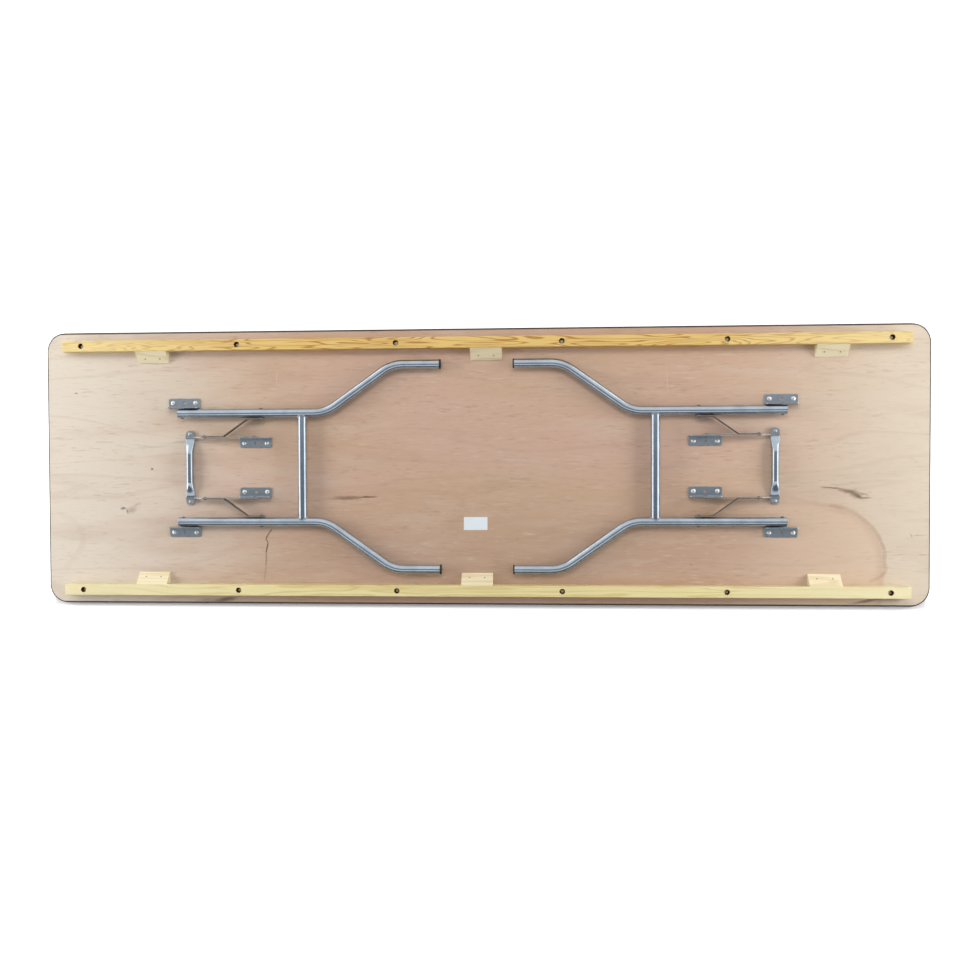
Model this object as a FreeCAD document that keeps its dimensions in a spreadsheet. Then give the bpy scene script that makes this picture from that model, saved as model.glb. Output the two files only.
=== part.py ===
import FreeCAD, Part
import math
import os
import Sketcher

# Folding trestle table, lying on its top with both trestle legs folded flat on the underside.
# X runs along the table, Y across it, Z up. The origin is on the floor under the table's centre.
# The left trestle is modelled, rear half first. Mirrors make the front half and the right trestle.

# Driving sizes in millimetres
SIZES = {
    # Top
    "table_length": 2438.4,
    "table_width": 762.0,
    "table_height": 762.0,
    "corner_radius": 52.0,
    "panel_thickness": 19.0,
    # Edge band, a T-moulding whose barb sits in a groove of the panel
    "band_thickness": 3.0,
    "band_round": 1.4,
    "barb_thickness": 2.0,
    "barb_depth": 9.0,
    # Rails
    "rail_width": 30.5,
    "rail_height": 32.0,
    "rail_edge_gap": 25.5,
    "rail_end_gap": 59.0,
    "rail_round": 1.2,
    "rail_screw_end_gap": 53.0,
    "counterbore_diameter": 15.0,
    "counterbore_depth": 13.0,
    # Rail screws
    "rail_screw_diameter": 4.2,
    "rail_screw_head_diameter": 9.5,
    "rail_screw_head_height": 3.2,
    "rail_screw_reach": 13.0,
    # Glue blocks and their nails
    "block_length": 86.5,
    "block_foot": 32.0,
    "block_rise": 30.0,
    "block_toe": 2.0,
    "nail_diameter": 1.8,
    "nail_head_diameter": 4.0,
    "nail_head_height": 0.6,
    "nail_length": 28.0,
    "nail_spacing": 42.0,
    "nail_toe_gap": 12.0,
    # Blank label
    "label_length": 65.5,
    "label_width": 36.0,
    "label_thickness": 0.2,
    "label_side_offset": 5.5,
    "label_line": 156.5,
    # Leg tubes
    "foot_gap": 197.4,
    "pivot_height": 18.0,
    "tube_diameter": 25.4,
    "tube_wall": 1.6,
    "tube_tail": 11.5,
    "hip_spacing": 302.0,
    "foot_rail_gap": 43.0,
    "first_bend_share": 0.5586,
    "second_bend_share": 0.8138,
    "tube_bend_radius": 100.0,
    "crossbar_bend_gap": 66.4,
    "crossbar_diameter": 24.0,
    # Foot caps
    "cap_diameter": 27.0,
    "cap_thickness": 4.0,
    "cap_round": 1.5,
    "plug_length": 18.0,
    "plug_lead": 1.0,
    # Angle brackets
    "bracket_length": 90.0,
    "bracket_base": 28.0,
    "bracket_thickness": 2.5,
    "bracket_corner": 5.5,
    "hinge_flange_height": 29.0,
    "brace_flange_height": 28.0,
    "flange_corner": 9.0,
    "bend_round": 2.0,
    "bracket_screw_spacing": 64.0,
    "locating_hole_diameter": 8.0,
    "bracket_screw_diameter": 4.5,
    "bracket_screw_head_diameter": 12.0,
    "bracket_screw_head_height": 3.4,
    "bracket_screw_reach": 13.0,
    "recess_length": 6.0,
    "recess_width": 1.4,
    "recess_depth": 1.3,
    # Rivets, washers and spacers
    "rivet_diameter": 6.5,
    "rivet_head_diameter": 11.0,
    "rivet_head_height": 2.4,
    "washer_diameter": 16.0,
    "washer_thickness": 2.0,
    "spacer_diameter": 13.0,
    "spacer_thickness": 2.6,
    # Folding braces
    "brace_distance": 202.5,
    "leg_link_distance": 222.5,
    "brace_spacing": 167.0,
    "strap_height": 20.0,
    "strap_thickness": 2.0,
    "strap_round_share": 0.49,
    "strap_bend_radius": 12.0,
    "crank_start": 55.0,
    "crank_run": 67.0,
    "taper_start": 6.0,
    # Spreader bar and the tabs that carry it
    "spreader_reach": 45.3,
    "spreader_diameter": 19.0,
    "spreader_floor_gap": 1.5,
    "flat_width": 25.0,
    "flat_thickness": 3.0,
    "flat_length": 22.0,
    "flat_corner": 12.0,
    "neck_length": 44.0,
    "tab_reach": 20.2,
    "tab_thickness": 2.0,
    "tab_lip": 4.0,
    "tab_step": 4.0,
    "bolt_diameter": 5.0,
    "bolt_head_diameter": 11.0,
    "bolt_head_height": 2.4,
    "bolt_peen_height": 1.1,
    "bolt_tip_gap": 9.5,
    # Clearances
    "running_gap": 0.3,
    "running_fit": 0.08,
    "fastener_clearance": 0.1,
    "press_clearance": 0.05,
    "cut_overrun": 5.0,
}

# Sizes worked out from the driving ones
DERIVED = {
    "half_length": "table_length / 2",
    "half_width": "table_width / 2",
    "panel_length": "table_length - 2 * band_thickness",
    "panel_width": "table_width - 2 * band_thickness",
    "panel_radius": "corner_radius - band_thickness",
    "barb_base": "(panel_thickness - barb_thickness) / 2",
    "barb_length": "panel_length - 2 * barb_depth",
    "barb_width": "panel_width - 2 * barb_depth",
    "barb_radius": "panel_radius - barb_depth",
    "groove_top": "barb_base + barb_thickness + fastener_clearance",
    "groove_height": "barb_thickness + 2 * fastener_clearance",
    "groove_length": "barb_length - 2 * fastener_clearance",
    "groove_width": "barb_width - 2 * fastener_clearance",
    "groove_radius": "barb_radius - fastener_clearance",
    "groove_cut_length": "panel_length + 2 * cut_overrun",
    "groove_cut_width": "panel_width + 2 * cut_overrun",
    "groove_cut_radius": "panel_radius + cut_overrun",
    "rail_length": "table_length - 2 * rail_end_gap",
    "rail_line": "half_width - rail_edge_gap - rail_width / 2",
    "rail_inner": "half_width - rail_edge_gap - rail_width",
    "rail_screw_span": "rail_length - 2 * rail_screw_end_gap",
    "rail_screw_seat": "panel_thickness + rail_height - counterbore_depth",
    "rail_screw_length": "rail_height - counterbore_depth + rail_screw_reach",
    "rail_screw_hole": "rail_screw_diameter / 2 + fastener_clearance",
    "rail_pilot_depth": "rail_screw_reach + fastener_clearance",
    "counterbore_radius": "counterbore_diameter / 2",
    "pivot_level": "panel_thickness + pivot_height",
    "leg_length": "table_height - pivot_level",
    "pivot_x": "leg_length + foot_gap / 2",
    "tube_end": "leg_length - cap_thickness",
    "tube_radius": "tube_diameter / 2",
    "tube_bore": "tube_diameter / 2 - tube_wall",
    "hip_line": "hip_spacing / 2",
    "foot_line": "rail_inner - foot_rail_gap",
    "first_bend": "leg_length * first_bend_share",
    "second_bend": "leg_length * second_bend_share",
    "crossbar_distance": "first_bend - crossbar_bend_gap",
    "hip_inner": "hip_line - tube_radius",
    "hip_outer": "hip_line + tube_radius",
    "crossbar_radius": "crossbar_diameter / 2",
    "crossbar_bore": "crossbar_radius - tube_wall",
    "plug_radius": "tube_bore - press_clearance",
    "cap_radius": "cap_diameter / 2",
    "plug_start": "tube_end - plug_length",
    "hinge_line": "hip_outer + washer_thickness + running_gap",
    "brace_line": "brace_spacing / 2",
    "bracket_screw_row": "(bracket_base + bracket_thickness) / 2",
    "bracket_screw_step": "bracket_screw_spacing / 2",
    "bracket_screw_hole": "bracket_screw_diameter / 2 + fastener_clearance",
    "bracket_screw_length": "bracket_thickness + bracket_screw_reach",
    "bracket_pilot_depth": "bracket_screw_reach + fastener_clearance",
    "bracket_cut": "2 * (bracket_thickness + cut_overrun)",
    "locating_hole": "locating_hole_diameter / 2",
    "hinge_screw_line": "hinge_line + bracket_screw_row",
    "brace_screw_line": "brace_line - bracket_screw_row",
    "brace_x": "pivot_x - brace_distance",
    "rivet_radius": "rivet_diameter / 2",
    "rivet_head_radius": "rivet_head_diameter / 2",
    "rivet_hole": "rivet_radius + press_clearance",
    "rivet_running_hole": "rivet_radius + running_fit",
    "washer_radius": "washer_diameter / 2",
    "spacer_radius": "spacer_diameter / 2",
    "strap_half": "strap_height / 2",
    "strap_end_round": "strap_height * strap_round_share",
    "brace_reach": "sqrt(brace_distance ^ 2 + leg_link_distance ^ 2)",
    "table_link_length": "(brace_reach - leg_link_distance + brace_distance) / 2",
    "knee_x": "brace_distance - table_link_length",
    "table_link_inner": "brace_line + running_gap",
    "table_link_outer": "table_link_inner + strap_thickness",
    "leg_link_inner": "table_link_outer + running_gap",
    "leg_link_outer": "leg_link_inner + strap_thickness",
    "leg_link_line": "leg_link_inner + strap_thickness / 2",
    "spacer_inner": "hip_inner - spacer_thickness",
    "crank_outer": "spacer_inner - running_gap",
    "crank_line": "crank_outer - strap_thickness / 2",
    "crank_inner": "crank_outer - strap_thickness",
    "leg_link_start": "knee_x - strap_half",
    "leg_link_end": "leg_link_distance + strap_half",
    "crank_first": "knee_x + crank_start",
    "crank_second": "crank_first + crank_run",
    "spreader_x": "knee_x - spreader_reach",
    "spreader_radius": "spreader_diameter / 2",
    "spreader_level": "spreader_floor_gap + spreader_radius - pivot_height",
    "tab_near": "spreader_x + flat_width / 2",
    "tab_far": "spreader_x - flat_width / 2",
    "tab_top": "-strap_half - running_gap",
    "tab_base": "tab_top - tab_thickness",
    "tab_tip": "table_link_inner + tab_reach",
    "tab_lip_top": "tab_lip - strap_half",
    "tab_run_end": "tab_near + tab_step",
    "taper_x": "knee_x - taper_start",
    "flat_base": "tab_base - flat_thickness",
    "flat_start": "tab_tip - flat_length",
    "neck_start": "flat_start - neck_length",
    "bolt_line": "tab_tip - bolt_tip_gap",
    "bolt_radius": "bolt_diameter / 2",
    "bolt_hole": "bolt_radius + press_clearance",
    "bolt_head_radius": "bolt_head_diameter / 2",
}

# Places of the screws along a rail, as shares of their span, and of the glue blocks, as shares of
# the rail's length, then the upright rim of a screw head, the crown of a flattened bar end and the
# sections of the neck before it
RAIL_SCREW_SHARES = (-0.5, -0.3, -0.1, 0.105, 0.305, 0.5)
REAR_BLOCK_SHARES = (-0.392, 0.011, 0.412)
FRONT_BLOCK_SHARES = (-0.3935, -0.0005, 0.4045)
BLOCK_NAMES = ("left_block", "middle_block", "right_block")
HEAD_RIM_SHARE = 0.3
FLAT_CROWN_SHARE = 0.02
NECK_SHARES = (0.0, 0.25, 0.5, 0.75, 1.0)
SCREW_TURN_DEGREES = 37

X_AXIS = FreeCAD.Vector(1, 0, 0)
Y_AXIS = FreeCAD.Vector(0, 1, 0)
Z_AXIS = FreeCAD.Vector(0, 0, 1)
HALF_TURN = FreeCAD.Rotation(Z_AXIS, 180)
NO_TURN = FreeCAD.Rotation()
SAME_PLACE = 1e-4

doc = FreeCAD.newDocument("FoldingTable")
sheet = doc.addObject("Spreadsheet::Sheet", "Sizes")
nodes = []


def fill_sheet():
    """Write the driving sizes as numbers and the derived ones as formulas, each with an alias."""
    cells = [(name, str(value)) for name, value in SIZES.items()]
    cells += [(name, "=" + formula) for name, formula in DERIVED.items()]
    for row, (name, content) in enumerate(cells, start=1):
        sheet.set(f"A{row}", name)
        sheet.set(f"B{row}", content)
        sheet.setAlias(f"B{row}", name)
    doc.recompute()


def size(name):
    """One size of the sheet in millimetres."""
    return float(sheet.get(name))


def amount(text):
    """The value of a sum such as "half_length - rail_end_gap" or "0.3 * rail_length"."""
    total, sign, share = 0.0, 1.0, 1.0
    for word in text.split():
        if word in ("+", "-"):
            sign = -1.0 if word == "-" else 1.0
        elif word[0].isalpha():
            total += sign * share * size(word)
            sign, share = 1.0, 1.0
        elif word != "*":
            share = float(word)
    return total


def bind(thing, path, text):
    """Tie a property to such a sum of the sheet's sizes."""
    words = [("Sizes." + word) if word[0].isalpha() else word for word in text.split()]
    thing.setExpression(path, " ".join(words))


def place(thing, x="0", y="0", z="0", turn=NO_TURN):
    """Put an object at sums of sizes."""
    thing.Placement = FreeCAD.Placement(FreeCAD.Vector(amount(x), amount(y), amount(z)), turn)
    for axis, text in (("x", x), ("y", y), ("z", z)):
        if text != "0":
            bind(thing, f"Placement.Base.{axis}", text)


def node(thing):
    """Keep an object as a named piece of the table."""
    nodes.append(thing)
    return thing


def make_body(label):
    body = doc.addObject("PartDesign::Body", label)
    body.Label = label
    return body


def sketch_on(body, role, lift="0"):
    """A sketch on one of the body's own planes, lifted along the plane's normal."""
    sketch = body.newObject("Sketcher::SketchObject", "Sketch")
    plane = next(item for item in body.Origin.OriginFeatures if item.Role == role)
    sketch.AttachmentSupport = [(plane, "")]
    sketch.MapMode = "FlatFace"
    if lift != "0":
        sketch.AttachmentOffset = FreeCAD.Placement(FreeCAD.Vector(0, 0, amount(lift)), NO_TURN)
        bind(sketch, "AttachmentOffset.Base.z", lift)
    return sketch


def pin(sketch, item, spot, x, y):
    """Hold one point of a sketch at two sums of sizes."""
    for kind, axis, text in (("DistanceX", -2, x), ("DistanceY", -1, y)):
        if text == "0":
            sketch.addConstraint(Sketcher.Constraint("PointOnObject", item, spot, axis))
        else:
            rule = Sketcher.Constraint(kind, -1, 1, item, spot, amount(text))
            bind(sketch, f"Constraints[{sketch.addConstraint(rule)}]", text)


def set_radius(sketch, item, text):
    rule = Sketcher.Constraint("Radius", item, amount(text))
    bind(sketch, f"Constraints[{sketch.addConstraint(rule)}]", text)


def circle(sketch, radius, x="0", y="0"):
    centre = FreeCAD.Vector(amount(x), amount(y), 0)
    item = sketch.addGeometry(Part.Circle(centre, Z_AXIS, amount(radius)))
    pin(sketch, item, 3, x, y)
    set_radius(sketch, item, radius)


def dome(start, end):
    """An arc between two points, one of them on the sketch's vertical axis, square to that axis."""
    rim, tip = (start, end) if abs(end.x) < SAME_PLACE else (end, start)
    middle = (tip.y ** 2 - rim.x ** 2 - rim.y ** 2) / (2 * (tip.y - rim.y))
    full = Part.Circle(FreeCAD.Vector(0, middle, 0), Z_AXIS, abs(tip.y - middle))
    first = math.atan2(start.y - middle, start.x)
    last = math.atan2(end.y - middle, end.x)
    return Part.ArcOfCircle(full, first, last)


def outline(sketch, corners, domes=()):
    """A closed outline through corners given as sums, anticlockwise, with some sides domed."""
    spots = [FreeCAD.Vector(amount(x), amount(y), 0) for x, y in corners]
    items = []
    for side, start in enumerate(spots):
        end = spots[(side + 1) % len(spots)]
        shape = dome(start, end) if side in domes else Part.LineSegment(start, end)
        items.append(sketch.addGeometry(shape))
    for side, item in enumerate(items):
        following = items[(side + 1) % len(items)]
        sketch.addConstraint(Sketcher.Constraint("Coincident", item, 2, following, 1))
        pin(sketch, item, 1, *corners[side])
        if side in domes:
            sketch.addConstraint(Sketcher.Constraint("PointOnObject", item, 3, -2))


def rectangle(sketch, length, width):
    """A rectangle about the sketch's origin."""
    left, right = f"-0.5 * {length}", f"0.5 * {length}"
    low, high = f"-0.5 * {width}", f"0.5 * {width}"
    outline(sketch, [(left, low), (right, low), (right, high), (left, high)])


def rounded_rectangle(sketch, length, width, radius):
    """A rectangle with round corners about the sketch's origin."""
    round_by = amount(radius)
    reach_x = amount(length) / 2 - round_by
    reach_y = amount(width) / 2 - round_by
    centres = [(reach_x, reach_y), (-reach_x, reach_y), (-reach_x, -reach_y), (reach_x, -reach_y)]
    arcs = []
    for quarter, (x, y) in enumerate(centres):
        full = Part.Circle(FreeCAD.Vector(x, y, 0), Z_AXIS, round_by)
        start = quarter * math.pi / 2
        arcs.append(sketch.addGeometry(Part.ArcOfCircle(full, start, start + math.pi / 2)))
    geometry = sketch.Geometry
    ends = [(geometry[item].StartPoint, geometry[item].EndPoint) for item in arcs]
    for quarter in range(4):
        following = (quarter + 1) % 4
        line = sketch.addGeometry(Part.LineSegment(ends[quarter][1], ends[following][0]))
        sketch.addConstraint(Sketcher.Constraint("Tangent", arcs[quarter], 2, line, 1))
        sketch.addConstraint(Sketcher.Constraint("Tangent", line, 2, arcs[following], 1))
        sketch.addConstraint(Sketcher.Constraint("Vertical" if quarter % 2 else "Horizontal", line))
        if quarter:
            sketch.addConstraint(Sketcher.Constraint("Equal", arcs[0], arcs[quarter]))
    sketch.addConstraint(Sketcher.Constraint("Symmetric", arcs[0], 3, arcs[2], 3, -1, 1))
    set_radius(sketch, arcs[0], radius)
    for kind, reach, text in (("DistanceX", reach_x, length), ("DistanceY", reach_y, width)):
        rule = Sketcher.Constraint(kind, arcs[2], 3, arcs[0], 3, 2 * reach)
        index = sketch.addConstraint(rule)
        sketch.setExpression(f"Constraints[{index}]", f"Sizes.{text} - 2 * Sizes.{radius}")


def crank_path(sketch, start, end, low, high, first, second, radius):
    """A path along X that steps from one line to a parallel one through two round bends."""
    corners = [FreeCAD.Vector(amount(x), amount(y), 0)
               for x, y in ((start, low), (first, low), (second, high), (end, high))]
    slope = math.atan2(corners[2].y - corners[1].y, corners[2].x - corners[1].x)
    bend = amount(radius)
    trim = bend * math.tan(slope / 2)
    along = FreeCAD.Vector(math.cos(slope), math.sin(slope), 0)
    joints = [corners[1] - X_AXIS * trim, corners[1] + along * trim,
              corners[2] - along * trim, corners[2] + X_AXIS * trim]
    first_circle = Part.Circle(joints[0] + Y_AXIS * bend, Z_AXIS, bend)
    second_circle = Part.Circle(joints[3] - Y_AXIS * bend, Z_AXIS, bend)
    quarter = math.pi / 2
    run_in = sketch.addGeometry(Part.LineSegment(corners[0], joints[0]))
    bend_in = sketch.addGeometry(Part.ArcOfCircle(first_circle, -quarter, slope - quarter))
    ramp = sketch.addGeometry(Part.LineSegment(joints[1], joints[2]))
    bend_out = sketch.addGeometry(Part.ArcOfCircle(second_circle, quarter, slope + quarter))
    run_out = sketch.addGeometry(Part.LineSegment(joints[3], corners[3]))
    for one, one_end, other, other_end in ((run_in, 2, bend_in, 1), (bend_in, 2, ramp, 1),
                                           (ramp, 2, bend_out, 2), (bend_out, 1, run_out, 1)):
        sketch.addConstraint(Sketcher.Constraint("Tangent", one, one_end, other, other_end))
    pin(sketch, run_in, 1, start, low)
    pin(sketch, run_out, 2, end, high)
    for run in (run_in, run_out):
        sketch.addConstraint(Sketcher.Constraint("Horizontal", run))
    for arc in (bend_in, bend_out):
        set_radius(sketch, arc, radius)
    for corner, x, y in ((corners[1], first, low), (corners[2], second, high)):
        mark = sketch.addGeometry(Part.Point(corner), True)
        pin(sketch, mark, 1, x, y)
        sketch.addConstraint(Sketcher.Constraint("PointOnObject", mark, 1, ramp))


def feature(body, kind, sketch, length=None, back=False, both_ways=False, through=False):
    """A pad or pocket of a sketch."""
    item = body.newObject("PartDesign::" + kind, kind)
    item.Profile = sketch
    item.Reversed = back
    item.SideType = "Symmetric" if both_ways else "One side"
    if through:
        item.Type = "ThroughAll"
    else:
        item.Length = amount(length)
        bind(item, "Length", length)
    doc.recompute()
    return item


def revolve(body, sketch, axis):
    item = body.newObject("PartDesign::Revolution", "Revolution")
    item.Profile = sketch
    item.ReferenceAxis = (sketch, [axis])
    doc.recompute()
    return item


def round_edges(body, radius, chosen):
    """Round the edges of the body's last feature that a test picks by their two ends."""
    last = body.Tip
    names = []
    for number, edge in enumerate(last.Shape.Edges, start=1):
        if chosen(edge.Vertexes[0].Point, edge.Vertexes[-1].Point):
            names.append(f"Edge{number}")
    if not names:
        raise RuntimeError(f"no edge to round on {body.Label}")
    item = body.newObject("PartDesign::Fillet", "Fillet")
    item.Base = (last, names)
    item.Radius = amount(radius)
    bind(item, "Radius", radius)
    doc.recompute()


def near(value, text):
    return abs(value - amount(text)) < SAME_PLACE


def mirror(label, source, normal):
    """The mirror image of an object in a plane through the table's centre."""
    image = doc.addObject("Part::Mirroring", label)
    image.Label = label
    image.Source = source
    image.Normal = normal
    return image


def group(label, members):
    """Separate solids kept together as one piece."""
    whole = doc.addObject("Part::Compound", label)
    whole.Label = label
    whole.Links = members
    return node(whole)


def copies(label, source, placements):
    """Copies of one fastener at several placements, as one group of separate solids."""
    doc.recompute()
    whole = doc.addObject("Part::Feature", label)
    whole.Label = label
    whole.Shape = Part.makeCompound([source.Shape.transformed(spot.toMatrix()) for spot in placements])
    return node(whole)


def plywood_panel(nail_holes):
    """The top, with a groove for the edge band's barb and pilot holes for every fastener."""
    body = make_body("panel_board")
    sheet_outline = sketch_on(body, "XY_Plane")
    rounded_rectangle(sheet_outline, "panel_length", "panel_width", "panel_radius")
    feature(body, "Pad", sheet_outline, "panel_thickness")
    groove = sketch_on(body, "XY_Plane", "groove_top")
    rounded_rectangle(groove, "groove_cut_length", "groove_cut_width", "groove_cut_radius")
    rounded_rectangle(groove, "groove_length", "groove_width", "groove_radius")
    feature(body, "Pocket", groove, "groove_height")
    rail_pilots = sketch_on(body, "XY_Plane", "panel_thickness")
    for share in RAIL_SCREW_SHARES:
        for line in ("rail_line", "- rail_line"):
            circle(rail_pilots, "rail_screw_hole", f"{share} * rail_screw_span", line)
    feature(body, "Pocket", rail_pilots, "rail_pilot_depth")
    bracket_pilots = sketch_on(body, "XY_Plane", "panel_thickness")
    for x, y in bracket_screw_spots():
        circle(bracket_pilots, "bracket_screw_hole", x, y)
    feature(body, "Pocket", bracket_pilots, "bracket_pilot_depth")
    panel = doc.addObject("Part::Cut", "plywood_panel")
    panel.Label = "plywood_panel"
    panel.Base = body
    panel.Tool = nail_holes
    return node(panel)


def edge_band():
    """Black T-moulding round the panel, with its barb in the panel's groove."""
    body = make_body("edge_band")
    wall = sketch_on(body, "XY_Plane")
    rounded_rectangle(wall, "table_length", "table_width", "corner_radius")
    rounded_rectangle(wall, "panel_length", "panel_width", "panel_radius")
    feature(body, "Pad", wall, "panel_thickness")
    for level in ("0", "panel_thickness"):
        round_edges(body, "band_round", lambda a, b, level=level: near(a.y, "half_width")
                    and near(b.y, "half_width") and near(a.z, level) and near(b.z, level))
    barb = sketch_on(body, "XY_Plane", "barb_base")
    rounded_rectangle(barb, "panel_length", "panel_width", "panel_radius")
    rounded_rectangle(barb, "barb_length", "barb_width", "barb_radius")
    feature(body, "Pad", barb, "barb_thickness")
    return node(body)


def rail(label, line):
    """A pine rail with a counterbored screw hole at each station."""
    body = make_body(label)
    place(body, y=line, z="panel_thickness")
    bar = sketch_on(body, "XY_Plane")
    rectangle(bar, "rail_length", "rail_width")
    feature(body, "Pad", bar, "rail_height")
    round_edges(body, "rail_round", lambda a, b: near(a.z, "rail_height") and near(b.z, "rail_height"))
    bores = sketch_on(body, "XY_Plane", "rail_height")
    holes = sketch_on(body, "XY_Plane", "rail_height")
    for share in RAIL_SCREW_SHARES:
        circle(bores, "counterbore_radius", f"{share} * rail_screw_span")
        circle(holes, "rail_screw_hole", f"{share} * rail_screw_span")
    feature(body, "Pocket", bores, "counterbore_depth")
    feature(body, "Pocket", holes, through=True)
    return node(body)


def wood_screw(label, head_diameter, head_height, diameter, length):
    """A round-head screw with a cross recess, its head's underside at the origin, pointing down."""
    body = make_body(label)
    profile = sketch_on(body, "XZ_Plane")
    outline(profile, [("0", f"- {length}"), (f"0.5 * {diameter}", f"- {length} + {diameter}"),
                      (f"0.5 * {diameter}", "0"), (f"0.5 * {head_diameter}", "0"),
                      (f"0.5 * {head_diameter}", f"{HEAD_RIM_SHARE} * {head_height}"),
                      ("0", head_height)], domes=(4,))
    revolve(body, profile, "V_Axis")
    arm, half = "0.5 * recess_length", "0.5 * recess_width"
    back_arm, back_half = "-0.5 * recess_length", "-0.5 * recess_width"
    cross = sketch_on(body, "XY_Plane", head_height)
    outline(cross, [(back_half, back_arm), (half, back_arm), (half, back_half), (arm, back_half),
                    (arm, half), (half, half), (half, arm), (back_half, arm), (back_half, half),
                    (back_arm, half), (back_arm, back_half), (back_half, back_half)])
    feature(body, "Pocket", cross, "recess_depth")
    return body


def rail_screws():
    screw = wood_screw("rail_screw", "rail_screw_head_diameter", "rail_screw_head_height",
                       "rail_screw_diameter", "rail_screw_length")
    spots = []
    for share in RAIL_SCREW_SHARES:
        for side in (1, -1):
            turn = FreeCAD.Rotation(Z_AXIS, SCREW_TURN_DEGREES * len(spots))
            seat = FreeCAD.Vector(share * size("rail_screw_span"), side * size("rail_line"),
                                  size("rail_screw_seat"))
            spots.append(FreeCAD.Placement(seat, turn))
    copies("rail_screws", screw, spots)


def block_stations():
    """Name, share of the rail's length and side of each glue block."""
    for row, shares, side in (("rear", REAR_BLOCK_SHARES, 1), ("front", FRONT_BLOCK_SHARES, -1)):
        for name, share in zip(BLOCK_NAMES, shares):
            yield f"{row}_{name}", share, side


def nail_spots():
    """Where each nail enters its block's slope, and the placement that points it into the wood."""
    rise = size("block_rise") - size("block_toe")
    foot = size("block_foot")
    inward = size("nail_toe_gap")
    height = size("panel_thickness") + size("block_toe") + rise * inward / foot
    for _, share, side in block_stations():
        for step in (-0.5, 0.5):
            x = share * size("rail_length") + step * size("nail_spacing")
            seat = FreeCAD.Vector(x, side * (size("rail_inner") - foot + inward), height)
            outward = FreeCAD.Vector(0, -side * rise, foot)
            yield FreeCAD.Placement(seat, FreeCAD.Rotation(Z_AXIS, outward))


def nail_hole_tool():
    """The holes that the nails make in blocks and panel, as one cutting tool."""
    tool = doc.addObject("Part::Feature", "nail_holes")
    radius = size("nail_diameter") / 2 + size("press_clearance")
    depth = size("nail_length") + size("press_clearance")
    overrun = size("cut_overrun")
    hole = Part.makeCylinder(radius, depth + overrun, FreeCAD.Vector(0, 0, -depth))
    tool.Shape = Part.makeCompound([hole.transformed(spot.toMatrix()) for spot in nail_spots()])
    return tool


def glue_blocks(nail_holes):
    """Wedge blocks in the corner between rail and panel."""
    for label, share, side in block_stations():
        body = make_body(label + "_wedge")
        turn = NO_TURN if side > 0 else HALF_TURN
        place(body, f"{share} * rail_length", "rail_inner" if side > 0 else "- rail_inner",
              "panel_thickness", turn)
        wedge = sketch_on(body, "YZ_Plane")
        outline(wedge, [("- block_foot", "0"), ("0", "0"), ("0", "block_rise"),
                        ("- block_foot", "block_toe")])
        feature(body, "Pad", wedge, "block_length", both_ways=True)
        block = doc.addObject("Part::Cut", label)
        block.Label = label
        block.Base = body
        block.Tool = nail_holes
        node(block)


def block_nails():
    body = make_body("block_nail")
    profile = sketch_on(body, "XZ_Plane")
    shank, head = "0.5 * nail_diameter", "0.5 * nail_head_diameter"
    outline(profile, [("0", "- nail_length"), (shank, "- nail_length + nail_diameter"), (shank, "0"),
                      (head, "0"), (head, "nail_head_height"), ("0", "nail_head_height")])
    revolve(body, profile, "V_Axis")
    copies("block_nails", body, list(nail_spots()))


def blank_label():
    """A plain paper label with nothing on it."""
    body = make_body("blank_label")
    place(body, "- label_side_offset", "- label_line", "panel_thickness")
    paper = sketch_on(body, "XY_Plane")
    rectangle(paper, "label_length", "label_width")
    feature(body, "Pad", paper, "label_thickness")
    return node(body)


def angle_bracket(label, flange_height, pivot_hole):
    """A bent steel angle: screw holes in its base, a pivot hole in its flange, bend along X."""
    body = make_body(label)
    angle = sketch_on(body, "YZ_Plane")
    outline(angle, [("0", "0"), ("bracket_base", "0"), ("bracket_base", "bracket_thickness"),
                    ("bracket_thickness", "bracket_thickness"), ("bracket_thickness", flange_height),
                    ("0", flange_height)])
    feature(body, "Pad", angle, "bracket_length", both_ways=True)
    round_edges(body, "bend_round", lambda a, b: near(a.y, "0") and near(b.y, "0") and near(a.z, "0")
                and near(b.z, "0"))
    round_edges(body, "bracket_corner", lambda a, b: near(a.y, "bracket_base") and near(b.y, "bracket_base")
                and abs(a.x - b.x) < SAME_PLACE)
    round_edges(body, "flange_corner", lambda a, b: near(a.z, flange_height) and near(b.z, flange_height)
                and abs(a.x - b.x) < SAME_PLACE)
    screw_holes = sketch_on(body, "XY_Plane")
    for x in ("bracket_screw_step", "- bracket_screw_step"):
        circle(screw_holes, "bracket_screw_hole", x, "bracket_screw_row")
    circle(screw_holes, "locating_hole", "0", "bracket_screw_row")
    feature(body, "Pocket", screw_holes, "bracket_cut", both_ways=True)
    pivot = sketch_on(body, "XZ_Plane")
    circle(pivot, pivot_hole, "0", "pivot_height")
    feature(body, "Pocket", pivot, "bracket_cut", both_ways=True)
    return body


def four_of(name, source):
    """A rear left piece and its mirror images at the other three places."""
    doc.recompute()
    node(source)
    front = node(mirror(f"left_front_{name}", source, Y_AXIS))
    node(mirror(f"right_rear_{name}", source, X_AXIS))
    node(mirror(f"right_front_{name}", front, X_AXIS))


def pair_groups(name, source):
    """A rear left fastener and its mirror images, as one group for each trestle."""
    doc.recompute()
    front = mirror(f"front_{name}", source, Y_AXIS)
    left = group(f"left_{name}", [source, front])
    node(mirror(f"right_{name}", left, X_AXIS))


def brackets():
    hinge = angle_bracket("left_rear_hinge_bracket", "hinge_flange_height", "rivet_running_hole")
    place(hinge, "- pivot_x", "hinge_line", "panel_thickness")
    four_of("hinge_bracket", hinge)
    brace = angle_bracket("left_rear_brace_bracket", "brace_flange_height", "rivet_hole")
    place(brace, "- brace_x", "brace_line", "panel_thickness", HALF_TURN)
    four_of("brace_bracket", brace)


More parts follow.
